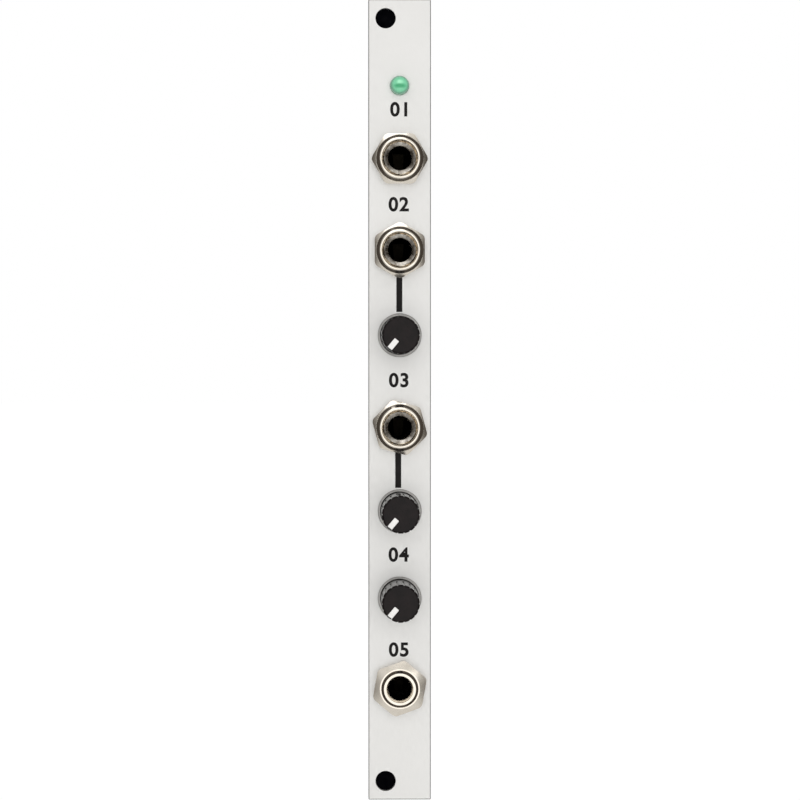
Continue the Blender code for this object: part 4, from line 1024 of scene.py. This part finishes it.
def makeControlBoard():
    shape, copper, front, rear = boardShape, controlCopper, depths["boardFront"], depths["boardRear"]
    holes = [(0, row + y, *shape["jackHole"]) for row in jackRows.values() for y in shape["jackPins"]]
    for row in potRows.values():
        holes += [(x, row + shape["potPinRow"], *shape["potHole"]) for x in spaced(3, shape["potPinPitch"])]
    holes += [(x, ledRow, *shape["lampHole"]) for x in spaced(2, shape["lampPitch"])]
    wide, tall = shape["control"]
    board = brick(0, 0, wide, tall, rear, front, shape["edgeBreak"], 1)
    inner, notch, notches = shape["notchInner"], shape["notchHalf"], []
    for row in potRows.values():
        for side in bothSides:
            corner = (side * inner, row - notch, rear - 1)
            notches.append(block(corner, (side * (wide / 2 + 1), row + notch, front + 1)))
    drillBoard(
        "controlBoard", "control_board", "controlBoardSolder", board, holes, front, rear, standUp(), notches
    )
    tracks, vias = [], []
    for side in bothSides:
        inner, outer = side * copper["inner"], side * copper["outer"]
        rail = zip((outer, outer, inner, inner, outer, outer), copper["steps"])
        tracks += trackRun(list(rail), rear, -1, copper["longWidth"])
        for row in jackRows.values():
            x, start, end = copper["jackVia"]
            y = row + shape["jackPins"][0 if side > 0 else 1]
            vias.append((side * x, row + side * end))
            tracks += trackRun([(copper["jackStart"] * side, y), (inner, y)], rear, -1)
            tracks += trackRun([(inner, row + side * start), vias[-1]], rear, -1)
        for row in potRows.values():
            x, start, bend, end = copper["potVia"]
            pin, y = side * shape["potPinPitch"], row + shape["potPinRow"]
            vias.append((side * x, y - end))
            tracks += trackRun([(pin, y - start), (pin, y - bend), vias[-1]], rear, -1)
    addPiece("controlBoardTracks", join(tracks), "coveredTrack")
    addPiece("controlBoardVias", viaRings(vias, rear, -shape["trackThick"]), "tinnedMetal")


makeControlBoard()
print("control board drilled")

# Small surface parts. Each column on the rear of the control board is x, the turn and the rows of its
# parts; each on the main board is the side, the depth behind its front edge, the turn and the rows. The
# solder is how far it goes in under the part, out, down and up, and it slumps above the first height.

smallShape = {
    "length": 1.6, "width": 0.8, "cap": 0.3, "inset": 0.02, "soften": 0.05, "pad": (0.7, 0.9), "padOut": 0.05,
    "solder": (0.1, 0.32, 0.01, 0.6), "slump": (0.1, 0.04),
}
smallKinds = {
    "Resistors": {
        "high": 0.45, "finish": ["chipEpoxy", "whiteCeramic"],
        "control": [
            (-2.35, 90, (46.6, 40.6)), (-1.9, 0, (25.6, 13.4, -13.8, -29.6)),
            (-1.9, 90, (6.2, -3.4, -20.6, -35.2)), (1.9, 90, (46.6, 6.2, -21.4)), (1.9, 0, (14.6, -14.2)),
        ],
        "main": [
            (1, 3.0, 90, (18.4, 14.8, 11.4, -12.6, -15.8, -19.2, -22.6)), (1, 3.4, 0, (8.4, 5.6, 2.8)),
            (1, 9.2, 0, (24.6, 27.2, 29.8, 35.0, 37.6, -27.4, -30.0, -32.6)), (-1, 4.0, 0, (-7.2, -9.6)),
            (-1, 9.6, 0, (35.6, 33.2, -36.0, -38.4)), (-1, 8.4, 0, (19.8, 17.4, -17.6, -20.0)),
        ],
    },
    "Capacitors": {
        "high": 0.55, "finish": ["paleCeramic"],
        "control": [
            (-1.9, 0, (38.0, 10.2, -17.2, -45.2)), (-1.9, 90, (22.8,)), (1.9, 0, (10.6, -4.6, -17.6, -44.6)),
        ],
        "main": [
            (1, 8.2, 0, (11.6,)), (1, 15.2, 90, (0.6, -3.4)), (1, 8.4, 0, (-12.6,)),
            (1, 9.2, 0, (32.4, -35.2)), (1, 15.6, 90, (25.0, -27.0)), (-1, 15.2, 90, (30.8, 21.4)),
            (-1, 16.4, 90, (-22.4, -32.0)), (-1, 13.2, 0, (6.6, -6.6)),
        ],
    },
}


def smallPart(high):
    # length along x, board surface at z = 0; gives the body, and its two ends with their solder and pads
    shape, lift = smallShape, boardShape["padThick"]
    half, wide, cap = shape["length"] / 2, shape["width"] / 2, shape["cap"]
    inset, top = shape["inset"], lift + high
    corner = (half - 2 * inset, wide - 1.5 * inset, top - inset)
    body = block((-corner[0], -corner[1], lift + inset), corner, 2 * inset, 1)
    start, end, sunk, share = shape["solder"]
    above, level = (lift + row for row in shape["slump"])
    ends, pads = [], []
    for side in bothSides:
        ends.append(block((side * half, -wide, lift), (side * (half - cap), wide, top), shape["soften"]))
        pads.append(brick(side * (half + shape["padOut"]), 0, *shape["pad"], 0, lift))
        near = (side * (half - start), inset - wide, lift - sunk)
        mound = block(near, (side * (half + end), wide - inset, lift + high * share))
        ends.append(slump(mound, 0, half, above, level))
    return body, ends + pads


def makeSmallParts():
    control = standUp() @ at(z=depths["boardRear"]) @ spun(math.pi, "Y")
    metal = []
    for kind, spec in smallKinds.items():
        spots = []
        for x, turn, rows in spec["control"]:
            spots += [control @ at(-x, row) @ spun(math.radians(turn)) for row in rows]
        for side, depth, turn, rows in spec["main"]:
            x = side * (depth - depths["mainFront"])
            spots += [onMainBoard(side) @ at(x, row) @ spun(math.radians(turn)) for row in rows]
        bodies, last = [], len(spec["finish"]) - 1
        for spot in spots:
            body, ends = smallPart(spec["high"])
            bodies.append(moved(paint(body, lambda face, centre: 0 if face.normal.z > 0.9 else last), spot))
            metal += [moved(item, spot) for item in ends]
        addPiece("small" + kind, join(bodies), spec["finish"], matrix=Matrix.Identity(4))
    addPiece("smallPartEnds", join(metal), "tinnedMetal", matrix=Matrix.Identity(4))


makeSmallParts()
print("small parts placed")

# Main board, and the strips that join the boards. A strip's end is its middle row and its ways.

stripShape = {
    "x": 2.1, "width": 2.5, "pitch": 2.54, "socketFront": -11.75, "socketRear": -15.35, "socketHole": 0.8,
    "wellDeep": 3.0, "mouthHalf": 0.3, "mouthSpread": 1.9, "soften": 0.08, "groove": 0.68, "grooveOut": 0.12,
    "blockFront": -15.4, "blockRear": -17.9, "pinTip": -12.7, "pin": 0.5, "bend": 0.7, "tailEnd": -1.7,
    "tipBreak": (0.12, 0.3), "innerBend": (0.2, 0.06), "footStart": 0.4, "footOut": 0.55,
    "foot": (0.3, 0.14, 0.03), "pad": (0.45, 0.04), "ends": {"upper": (31.0, 8), "lower": (-32.3, 4)},
}


def stripRows(end):
    middle, count = stripShape["ends"][end]
    return spaced(count, stripShape["pitch"], middle)


def makeMainBoard():
    shape = boardShape
    front, rear, tall = -depths["mainFront"], -depths["mainRear"], shape["mainHeight"] / 2
    corner, deep = shape["mainCorner"], shape["tailDepth"]
    edge = [
        (front, -tall), (rear - corner, -tall), (rear, corner - tall), (rear, tall - corner),
        (rear - corner, tall), (front, tall),
    ]
    board = prism(edge, -shape["thickness"], 0, shape["edgeBreak"], 1)
    holes = [(deep, y, *shape["tailHole"]) for end in stripShape["ends"] for y in stripRows(end)]
    drillBoard("mainBoard", "main_board", "tailSolder", board, holes, 0, -shape["thickness"], onMainBoard(1))


def stripBlock(end, front, rear):
    # a moulded strip, and the cutters for a groove on each side between every two ways
    shape = stripShape
    middle, count = shape["ends"][end]
    x, wide, groove = shape["x"], shape["width"], shape["groove"]
    body = brick(x, middle, wide, count * shape["pitch"], rear, front, shape["soften"], 1)
    cutters = []
    for y in spaced(count - 1, shape["pitch"], middle):
        for side in bothSides:
            bar = brick(0, 0, groove, groove, rear - 1, front + 1)
            cutters.append(moved(bar, at(x + side * (wide / 2 + shape["grooveOut"]), y) @ spun(math.pi / 4)))
    return body, cutters


def makeSockets(end):
    shape, board = stripShape, depths["boardRear"]
    x, rear, hole = shape["x"], shape["socketRear"], shape["socketHole"]
    body, cutters = stripBlock(end, shape["socketFront"], rear)
    (footHalf, high, soften), (padHalf, padThick) = shape["foot"], shape["pad"]
    feet = []
    for number, y in enumerate(stripRows(end)):
        mouth = brick(0, 0, hole, hole, -shape["mouthHalf"], shape["mouthHalf"])
        for vert in mouth.verts:
            if vert.co.z < 0:
                vert.co.xy *= shape["mouthSpread"]
        well = brick(x, y, hole, hole, rear - 1, rear + shape["wellDeep"])
        cutters += [well, moved(mouth, at(x, y, rear))]
        side = -1 if number % 2 else 1
        near, far = x + side * shape["footStart"], x + side * (shape["width"] / 2 + shape["footOut"])
        corner = (far, y + footHalf, board - padThick)
        feet.append(block((near, y - footHalf, board - high), corner, soften, 1))
        feet.append(block((near, y - padHalf, board - padThick), (far, y + padHalf, board)))
    nodes = [end + "_socket_strip"]
    addPiece(end + "SocketStrip", carve(body, join(cutters)), "headerPlastic", nodes)
    addPiece(end + "SocketFeet", join(feet), "tinnedMetal", nodes)


def makePins(end):
    shape, nodes = stripShape, [end + "_pin_strip"]
    body, cutters = stripBlock(end, shape["blockFront"], shape["blockRear"])
    addPiece(end + "PinStrip", carve(body, join(cutters)), "headerPlastic", nodes)
    pin, tip, stop = shape["pin"] / 2, shape["pinTip"], shape["tailEnd"]
    left, right, bend, tail = shape["x"] - pin, shape["x"] + pin, shape["bend"], -boardShape["tailDepth"]
    (blunt, taper), (start, inner) = shape["tipBreak"], shape["innerBend"]
    low, high = tail - pin, tail + pin
    path = [(left + blunt, tip), (right - blunt, tip), (right, tip - taper)]
    path += [(right - bend + bend * across, low + bend - bend * down) for across, down in quarter(6)]
    path += [(stop + taper, low), (stop, low + blunt), (stop, high - blunt), (stop + taper, high)]
    path += [(left - start, high), (left - inner, high + inner), (left, high + start), (left, tip - taper)]
    pins = [moved(prism(path, -pin, pin), at(0, y) @ spun(math.pi / 2, "X")) for y in stripRows(end)]
    addPiece(end + "StripPins", join(pins), "goldFlash", nodes, crease=40)


makeMainBoard()
print("main board routed")
for end in stripShape["ends"]:
    makeSockets(end)
    makePins(end)
print("strips plugged")

# Power header. The arrow that marks its first pin is cut in the rim: its reach, size and depth. Each end
# wall has two slots: x, width, how far into the wall and how short of the front. The solder mounds are
# half their width, the far and the near end from the pin's end, their height, and their smaller top.

headerShape = {
    "width": 8.9, "height": 20.3, "sideWall": 1.25, "endWall": 1.2, "floor": 2.5, "key": 4.5, "keyFloor": 1.2,
    "soften": 0.22, "lead": 0.25, "pin": 0.64, "pinTip": 0.14, "pinPitch": 2.54, "pinRows": 5,
    "pinRear": -41.15, "pinFront": -29.85, "pad": (3.5, 1.5), "arrow": (8.3, 0.9, 0.25),
    "slot": (2.1, 1.0, 0.5, 3.2), "mound": (0.62, 3.3, 0.2, 0.5), "moundMiddle": 1.75,
    "moundTop": (0.55, 0.8),
}


def makeShroud():
    shape, front, rear = headerShape, depths["headerFront"], depths["headerRear"]
    wide, high = shape["width"], shape["height"]
    half, tall, floor = wide / 2, high / 2, front - shape["floor"]
    inX, inY = 2 * (half - shape["sideWall"]), 2 * (tall - shape["endWall"])
    shroud = brick(0, 0, wide, high, rear, front, shape["soften"], 3)
    lead = brick(0, 0, inX, inY, rear - 1, rear + shape["lead"])
    for vert in lead.verts:
        if vert.co.z < rear:
            vert.co.x += math.copysign(1 + shape["lead"], vert.co.x)
            vert.co.y += math.copysign(1 + shape["lead"], vert.co.y)
    key = (half + 1, shape["key"] / 2, floor - shape["keyFloor"])
    cutters = [brick(0, 0, inX, inY, rear - 1, floor, 0.3), lead, block((0, -key[1], rear - 1), key, 0.1, 1)]
    reach, size, deep = shape["arrow"]
    arrow = [(half - deep, -size / 2), (half + 1, -size / 2), (half + 1, size / 2)]
    arrow = prism(arrow, reach - size / 2, reach + size / 2)
    cutters.append(moved(arrow, at(z=rear + size) @ spun(-math.pi / 2, "X")))
    x, wide, deep, short = shape["slot"]
    for side in bothSides:
        for end in bothSides:
            inner = (side * x - wide / 2, end * (tall - deep), rear - 1)
            cutters.append(block(inner, (side * x + wide / 2, end * (tall + 1), front - short), 0.1, 1))
    for cutter in cutters:
        shroud = carve(shroud, cutter)
    addPiece("powerShroud", shroud, "headerPlastic", ["power_header"], crease=26)


def powerMound(y, side, face, end):
    shape = headerShape
    half, far, near, thick = shape["mound"]
    middle, (narrow, short) = end - shape["moundMiddle"], shape["moundTop"]
    mound = block((0, y - half, end - far), (thick, y + half, end - near))
    for vert in mound.verts:
        if vert.co.x > 0.2:
            vert.co.y = y + (vert.co.y - y) * narrow
            vert.co.z = middle + (vert.co.z - middle) * short
        vert.co.x = side * (face + 0.02 + vert.co.x)
    mound.normal_update()
    bmesh.ops.recalc_face_normals(mound, faces=mound.faces)
    softenEdges(mound, mound.edges[:], 0.08)
    return mound


def makePowerPins():
    shape, pins, pads, mounds = headerShape, [], [], []
    long, wide = shape["pad"]
    end, face = shape["pinFront"] + 0.3, boardShape["thickness"] / 2
    for y in spaced(shape["pinRows"], shape["pinPitch"]):
        for side, x in zip(bothSides, spaced(2, shape["pinPitch"])):
            pin = brick(x, y, shape["pin"], shape["pin"], shape["pinRear"], shape["pinFront"])
            softenEdges(pin, [edge for edge in pin.edges if rise(edge) < 0.01], shape["pinTip"], 1)
            pins.append(pin)
            outer = side * (face + boardShape["padThick"])
            pads.append(block((side * face, y - wide / 2, end - long), (outer, y + wide / 2, end)))
            mounds.append(powerMound(y, side, face, end))
    addPiece("powerPins", join(pins), "goldFlash", ["power_header"])
    addPiece("powerPads", join(pads), "tinnedMetal")
    addPiece("powerSolder", join(mounds), "solder", crease=60)


makeShroud()
makePowerPins()
print("power header fitted")

# Chips: side, row, depth, size, pitch, leg width and legs in a row. Each is drawn with x across the
# package, y along it and z out of the board, whose surface is at -float. One chip has a tab on its left.
# A pad is its half length, its margin and how far its middle is behind the toe; the solder starts behind
# the toe, ends past it, and is given its base and top; a frame is printed round the chip, and a dot.

chips = {
    "microcontroller": (1, 6.0, 9.8, (4.4, 6.5, 1.1), 0.65, 0.25, 10),
    "converter_chip": (1, -8.0, 9.8, (3.9, 4.9, 1.5), 1.27, 0.42, 4),
    "output_amplifier": (-1, -27.0, 11.5, (3.9, 8.65, 1.5), 1.27, 0.42, 7),
    "input_amplifier": (-1, 26.0, 11.5, (3.9, 4.9, 1.5), 1.27, 0.42, 4),
    "voltage_regulator": (-1, 0.0, 9.0, (3.5, 6.5, 1.6), 2.3, 0.7, 3),
}
chipShape = {
    "legThick": 0.16, "legRoot": 0.2, "shoulder": 0.3, "drop": 0.2, "foot": 0.6, "bend": 0.14, "draft": 0.13,
    "lift": 0.12, "soften": 0.05, "dimple": (0.32, 0.06, 0.75), "float": 0.05, "tabbed": "voltage_regulator",
    "tab": 3.2, "tabPad": (0.3, 0.2), "tabSolder": (0.18, 0.05, 0.1), "tabSoften": 0.05,
    "pad": (0.6, 0.06, 0.2), "solder": (0.55, 0.28, 0.03, 0.11), "print": (-0.3, 0.7),
    "dot": (0.22, 1.3, 0.55),
}


def chipBody(width, length, height):
    shape = chipShape
    body = drafted(width, length, shape["lift"], height, shape["draft"])
    rims = [edge for edge in body.edges if min(vert.co.z for vert in edge.verts) > height / 2 + 0.01]
    softenEdges(body, list(set(rims + [edge for edge in body.edges if rise(edge) > 0.1])), shape["soften"])
    radius, deep, inset = shape["dimple"]
    profile = [(0, height - deep), (radius - 0.06, height - deep), (radius, height + 0.1), (0, height + 0.1)]
    dimple = moved(lathe(profile, 24, closed=False), at(inset - width / 2, length / 2 - inset))
    return carve(body, dimple)


def legPath(width, height):
    shape = chipShape
    root, out = width / 2 - shape["legRoot"], width / 2 + shape["shoulder"]
    toe, foot = out + shape["drop"], shape["legThick"] / 2
    path = [(root, height / 2), (out, height / 2), (toe, foot), (toe + shape["foot"], foot)]
    return eased(path, shape["bend"], 2)


def makeChip(node, side, row, depth, size, pitch, leg, count):
    shape, nodes, floor = chipShape, [node], -chipShape["float"]
    width, length, height = size
    where = onMainBoard(side, shape["float"], row, depths["mainFront"] - depth)
    addPiece(node + "Body", chipBody(*size), "chipEpoxy", nodes, where)
    path, tabbed = legPath(width, height), node == shape["tabbed"]
    toe, half, thick = path[-1][0], leg / 2, boardShape["padThick"]
    reach, margin, back = shape["pad"]
    near, far, base, top = shape["solder"]
    metal, pads, mounds = [], [], []
    for sign in bothSides[1:] if tabbed else bothSides:
        for y in spaced(count, pitch):
            strap = ribbon(path, [half] * len(path), shape["legThick"])
            metal.append(moved(strap, at(y=y) @ spun(-sign * math.pi / 2)))
            pads.append(brick(sign * (toe - back), y, 2 * reach, leg + 2 * margin, floor, floor + thick))
            start, end = sign * (toe - near), sign * (toe + far)
            mound = block((start, y - half - base, floor + base), (end, y + half + base, top))
            mounds.append(slump(mound, 0, toe, 0.1, 0.0))
    if tabbed:
        left = -width / 2 - shape["shoulder"] - shape["foot"]
        right, half, soften = shape["legRoot"] - width / 2, shape["tab"] / 2, shape["tabSoften"]
        metal.append(block((left, -half, 0), (right, half, 2 * shape["legThick"]), soften, 1))
        out, wide = shape["tabPad"]
        pads.append(block((left - out, -half - wide, floor), (right, half + wide, floor + thick)))
        out, wide, top = shape["tabSolder"]
        mound = block((left - out, -half - wide, floor + base), (right, half + wide, top), soften, 1)
        mounds.append(mound)
    addPiece(node + "Legs", join(metal), "tinnedMetal", nodes, where, crease=40)
    addPiece(node + "Solder", join(pads + mounds), "solder", matrix=where)
    radius, left, above = shape["dot"]
    top = floor + boardShape["printThick"]
    dot = pillar(radius, floor, top, -width / 2 - left, length / 2 + above, 16)
    across, along = shape["print"]
    printed = join([*printedFrame(width + across, length + along, floor), dot])
    addPiece(node + "Print", printed, "legendInk", matrix=where)


for node, spec in chips.items():
    makeChip(node, *spec)
print("chips soldered:", len(chips))

# Moulded two-terminal parts and the crystal, drawn as the chips are: side, row, depth, size, and how far
# the terminals reach in below the body. Solder is given as it is for the chips. The crystal's base, lid
# and seam are given by how much smaller they are, how far under the top, and their rounding.

blocks = {
    "positive_rail_capacitor": (1, 16.5, 14.5, (3.2, 6.0, 2.5), 1.3),
    "negative_rail_capacitor": (1, -17.5, 14.5, (3.2, 6.0, 2.5), 1.3),
    "positive_rail_diode": (-1, 14.0, 15.0, (2.6, 4.3, 2.2), 1.0),
    "negative_rail_diode": (-1, -14.0, 15.0, (2.6, 4.3, 2.2), 1.0),
    "clock_crystal": (1, -1.5, 9.8, (3.2, 2.5, 0.8), 0.7),
}
blockShape = {
    "terminalReach": 0.15, "terminalRoot": 0.3, "metal": 0.12, "bend": 0.16, "lift": 0.1, "soften": 0.06,
    "band": 1.1, "draft": 0.09, "pad": (0.15, 0.9), "solder": (0.2, 0.6, 0.03, 0.3),
    "slump": (0.3, 0.1, 0.03), "print": (0.7, 2.4),
}
crystalShape = {
    "base": (0.02, 0.3, 0.08), "lid": (0.4, 0.32, 0.06), "seam": (0.16, 0.33, 0.26, 0.02),
    "padInset": (0.9, 0.7), "pad": (1.3, 1.1), "padTop": 0.03, "padSoften": 0.02,
}


def mouldedBody(width, length, height):
    shape, band = blockShape, length / 2 - blockShape["band"]
    body = drafted(width, length, shape["lift"], height, shape["draft"])
    bisected(body, (0, band, 0), (0, 1, 0))
    softenEdges(body, [edge for edge in body.edges if edge.calc_face_angle(0) > 0.3], shape["soften"])
    return paint(body, lambda face, centre: 1 if centre.y > band else 0)


def makeCrystal(node, where, width, length, height, floor):
    shape = crystalShape
    low, under, soften = shape["base"]
    base = brick(0, 0, width, length, low, height - under, soften, 1)
    less, under, soften = shape["lid"]
    lid = brick(0, 0, width - less, length - less, height - under, height, soften)
    less, under, over, soften = shape["seam"]
    seam = brick(0, 0, width - less, length - less, height - under, height - over, soften, 1)
    addPiece(node + "Base", base, "paleCeramic", [node], where)
    addPiece(node + "Lid", join([lid, seam]), "nickelLid", [node], where)
    pad, (across, along) = (*shape["pad"], floor, shape["padTop"], shape["padSoften"], 1), shape["padInset"]
    return [brick(x, y, *pad) for x in spaced(2, width - across) for y in spaced(2, length - along)]


def makeMoulded(node, where, width, length, height, floor, cap):
    shape, half, broad = blockShape, length / 2, width * 2 / 3
    finish, slot = ["chipEpoxy", "legendInk"], "chip_package"
    if "capacitor" in node:
        finish, slot = ["tantalumYellow", "polarityBrown"], "tantalum_case"
    addPiece(node + "Body", mouldedBody(width, length, height), finish, [node], where)
    thick = shape["metal"]
    outer, high = half + shape["terminalReach"] - thick / 2, height / 2 - thick / 2
    path = [(half - shape["terminalRoot"], high), (outer, high), (outer, thick / 2), (half - cap, thick / 2)]
    path = eased(path, shape["bend"])
    (margin, out), (near, far, base, share) = shape["pad"], shape["solder"]
    past, above, level = shape["slump"]
    top = height * share
    metal, joints = [], []
    for sign in bothSides:
        strap = ribbon(path, [broad / 2] * len(path), thick)
        metal.append(moved(strap, spun(0 if sign > 0 else math.pi)))
        pad = (broad / 2 + margin, sign * (half + out), floor + boardShape["padThick"])
        joints.append(block((-pad[0], sign * (half - cap), floor), pad))
        mound = block((-broad / 2, sign * (half - near), floor + base), (broad / 2, sign * (half + far), top))
        joints.append(slump(mound, 1, half + past, above, level))
    addPiece(node + "Terminals", join(metal), "tinnedMetal", [node], where, crease=40)
    return joints


def makeBlock(node, side, row, depth, size, cap):
    where = onMainBoard(side, chipShape["float"], row, depths["mainFront"] - depth)
    floor, (across, along) = -chipShape["float"], blockShape["print"]
    if node == "clock_crystal":
        joints = makeCrystal(node, where, *size, floor)
    else:
        joints = makeMoulded(node, where, *size, floor, cap)
    addPiece(node + "Solder", join(joints), "solder", matrix=where)
    printed = join(printedFrame(size[0] + across, size[1] + along, floor))
    addPiece(node + "Print", printed, "legendInk", matrix=where)


for node, spec in blocks.items():
    makeBlock(node, *spec)
print("two-terminal parts soldered:", len(blocks))

# Copper under the lacquer of the main board, and its vias: each chip leg leads out to a via of its own,
# at one of three distances. "tail" is where a strip pin's track starts and bends, how much longer every
# second one is, and its last step; "header" the depth of the pads, of the bend, the bend's step from pin to
# pin and the track's spread. A rail's vias start at a height and have a pitch and a count.

mainCopper = {
    "legStart": 0.2, "legEnds": (0.9, 1.7, 2.5), "legSlope": 0.22, "legWidth": 0.22,
    "tail": (0.8, 1.6, 0.5, 0.6), "header": (29.6, 28.2, 0.4, 0.9), "headerWidth": 0.6,
    "rail": [(15.0, 50.2), (27.6, 50.2), (31.4, 46.4), (31.4, 9.0)], "railWidth": 0.8,
    "railVias": (12, 6.5, 6),
}


def legTracks(side):
    copper, shape = mainCopper, chipShape
    tracks, vias = [], []
    for face, row, depth, size, pitch, leg, count in chips.values():
        if face != side:
            continue
        centre = side * (depth - depths["mainFront"])
        toe = size[0] / 2 + shape["shoulder"] + shape["drop"] + shape["foot"]
        for sign in bothSides:
            for number, y in enumerate(spaced(count, pitch, row)):
                far = toe + copper["legEnds"][number % 3]
                end = (centre + sign * far, y + (y - row) * copper["legSlope"])
                near = (centre + sign * (toe + copper["legStart"]), y)
                tracks += trackRun([near, end], 0, width=min(copper["legWidth"], leg))
                vias.append(end)
    return tracks, vias


def makeMainCopper(side, name):
    copper = mainCopper
    tracks, vias = legTracks(side)
    start, reach, longer, rise = copper["tail"]
    for end in stripShape["ends"]:
        for number, y in enumerate(stripRows(end)):
            x, out = side * boardShape["tailDepth"], reach + longer * (number % 2)
            run = [(x + side * start, y), (x + side * out, y), (x + side * (out + rise), y + rise)]
            tracks += trackRun(run, 0)
    deep, bend, step, spread = copper["header"]
    for number, y in enumerate(spaced(headerShape["pinRows"], headerShape["pinPitch"])):
        off = number - 2
        turn = side * (bend - step * abs(off))
        end = (turn - side * spread, y + spread * off)
        run = [(side * deep, y), (turn, y), end] if off else [(side * deep, y), end]
        tracks += trackRun(run, 0, width=copper["headerWidth"])
    first, pitch, count = copper["railVias"]
    for edge in bothSides:
        tracks += trackRun([(side * x, edge * y) for x, y in copper["rail"]], 0, width=copper["railWidth"])
        vias += [(side * copper["rail"][-1][0], edge * (first + pitch * number)) for number in range(count)]
    thick = boardShape["trackThick"]
    addPiece("mainTracks" + name, join(tracks), "coveredTrack", matrix=onMainBoard(side))
    addPiece("mainVias" + name, viaRings(vias, thick, thick), "tinnedMetal", matrix=onMainBoard(side))


makeMainCopper(1, "Right")
makeMainCopper(-1, "Left")
print("main board tracks laid")
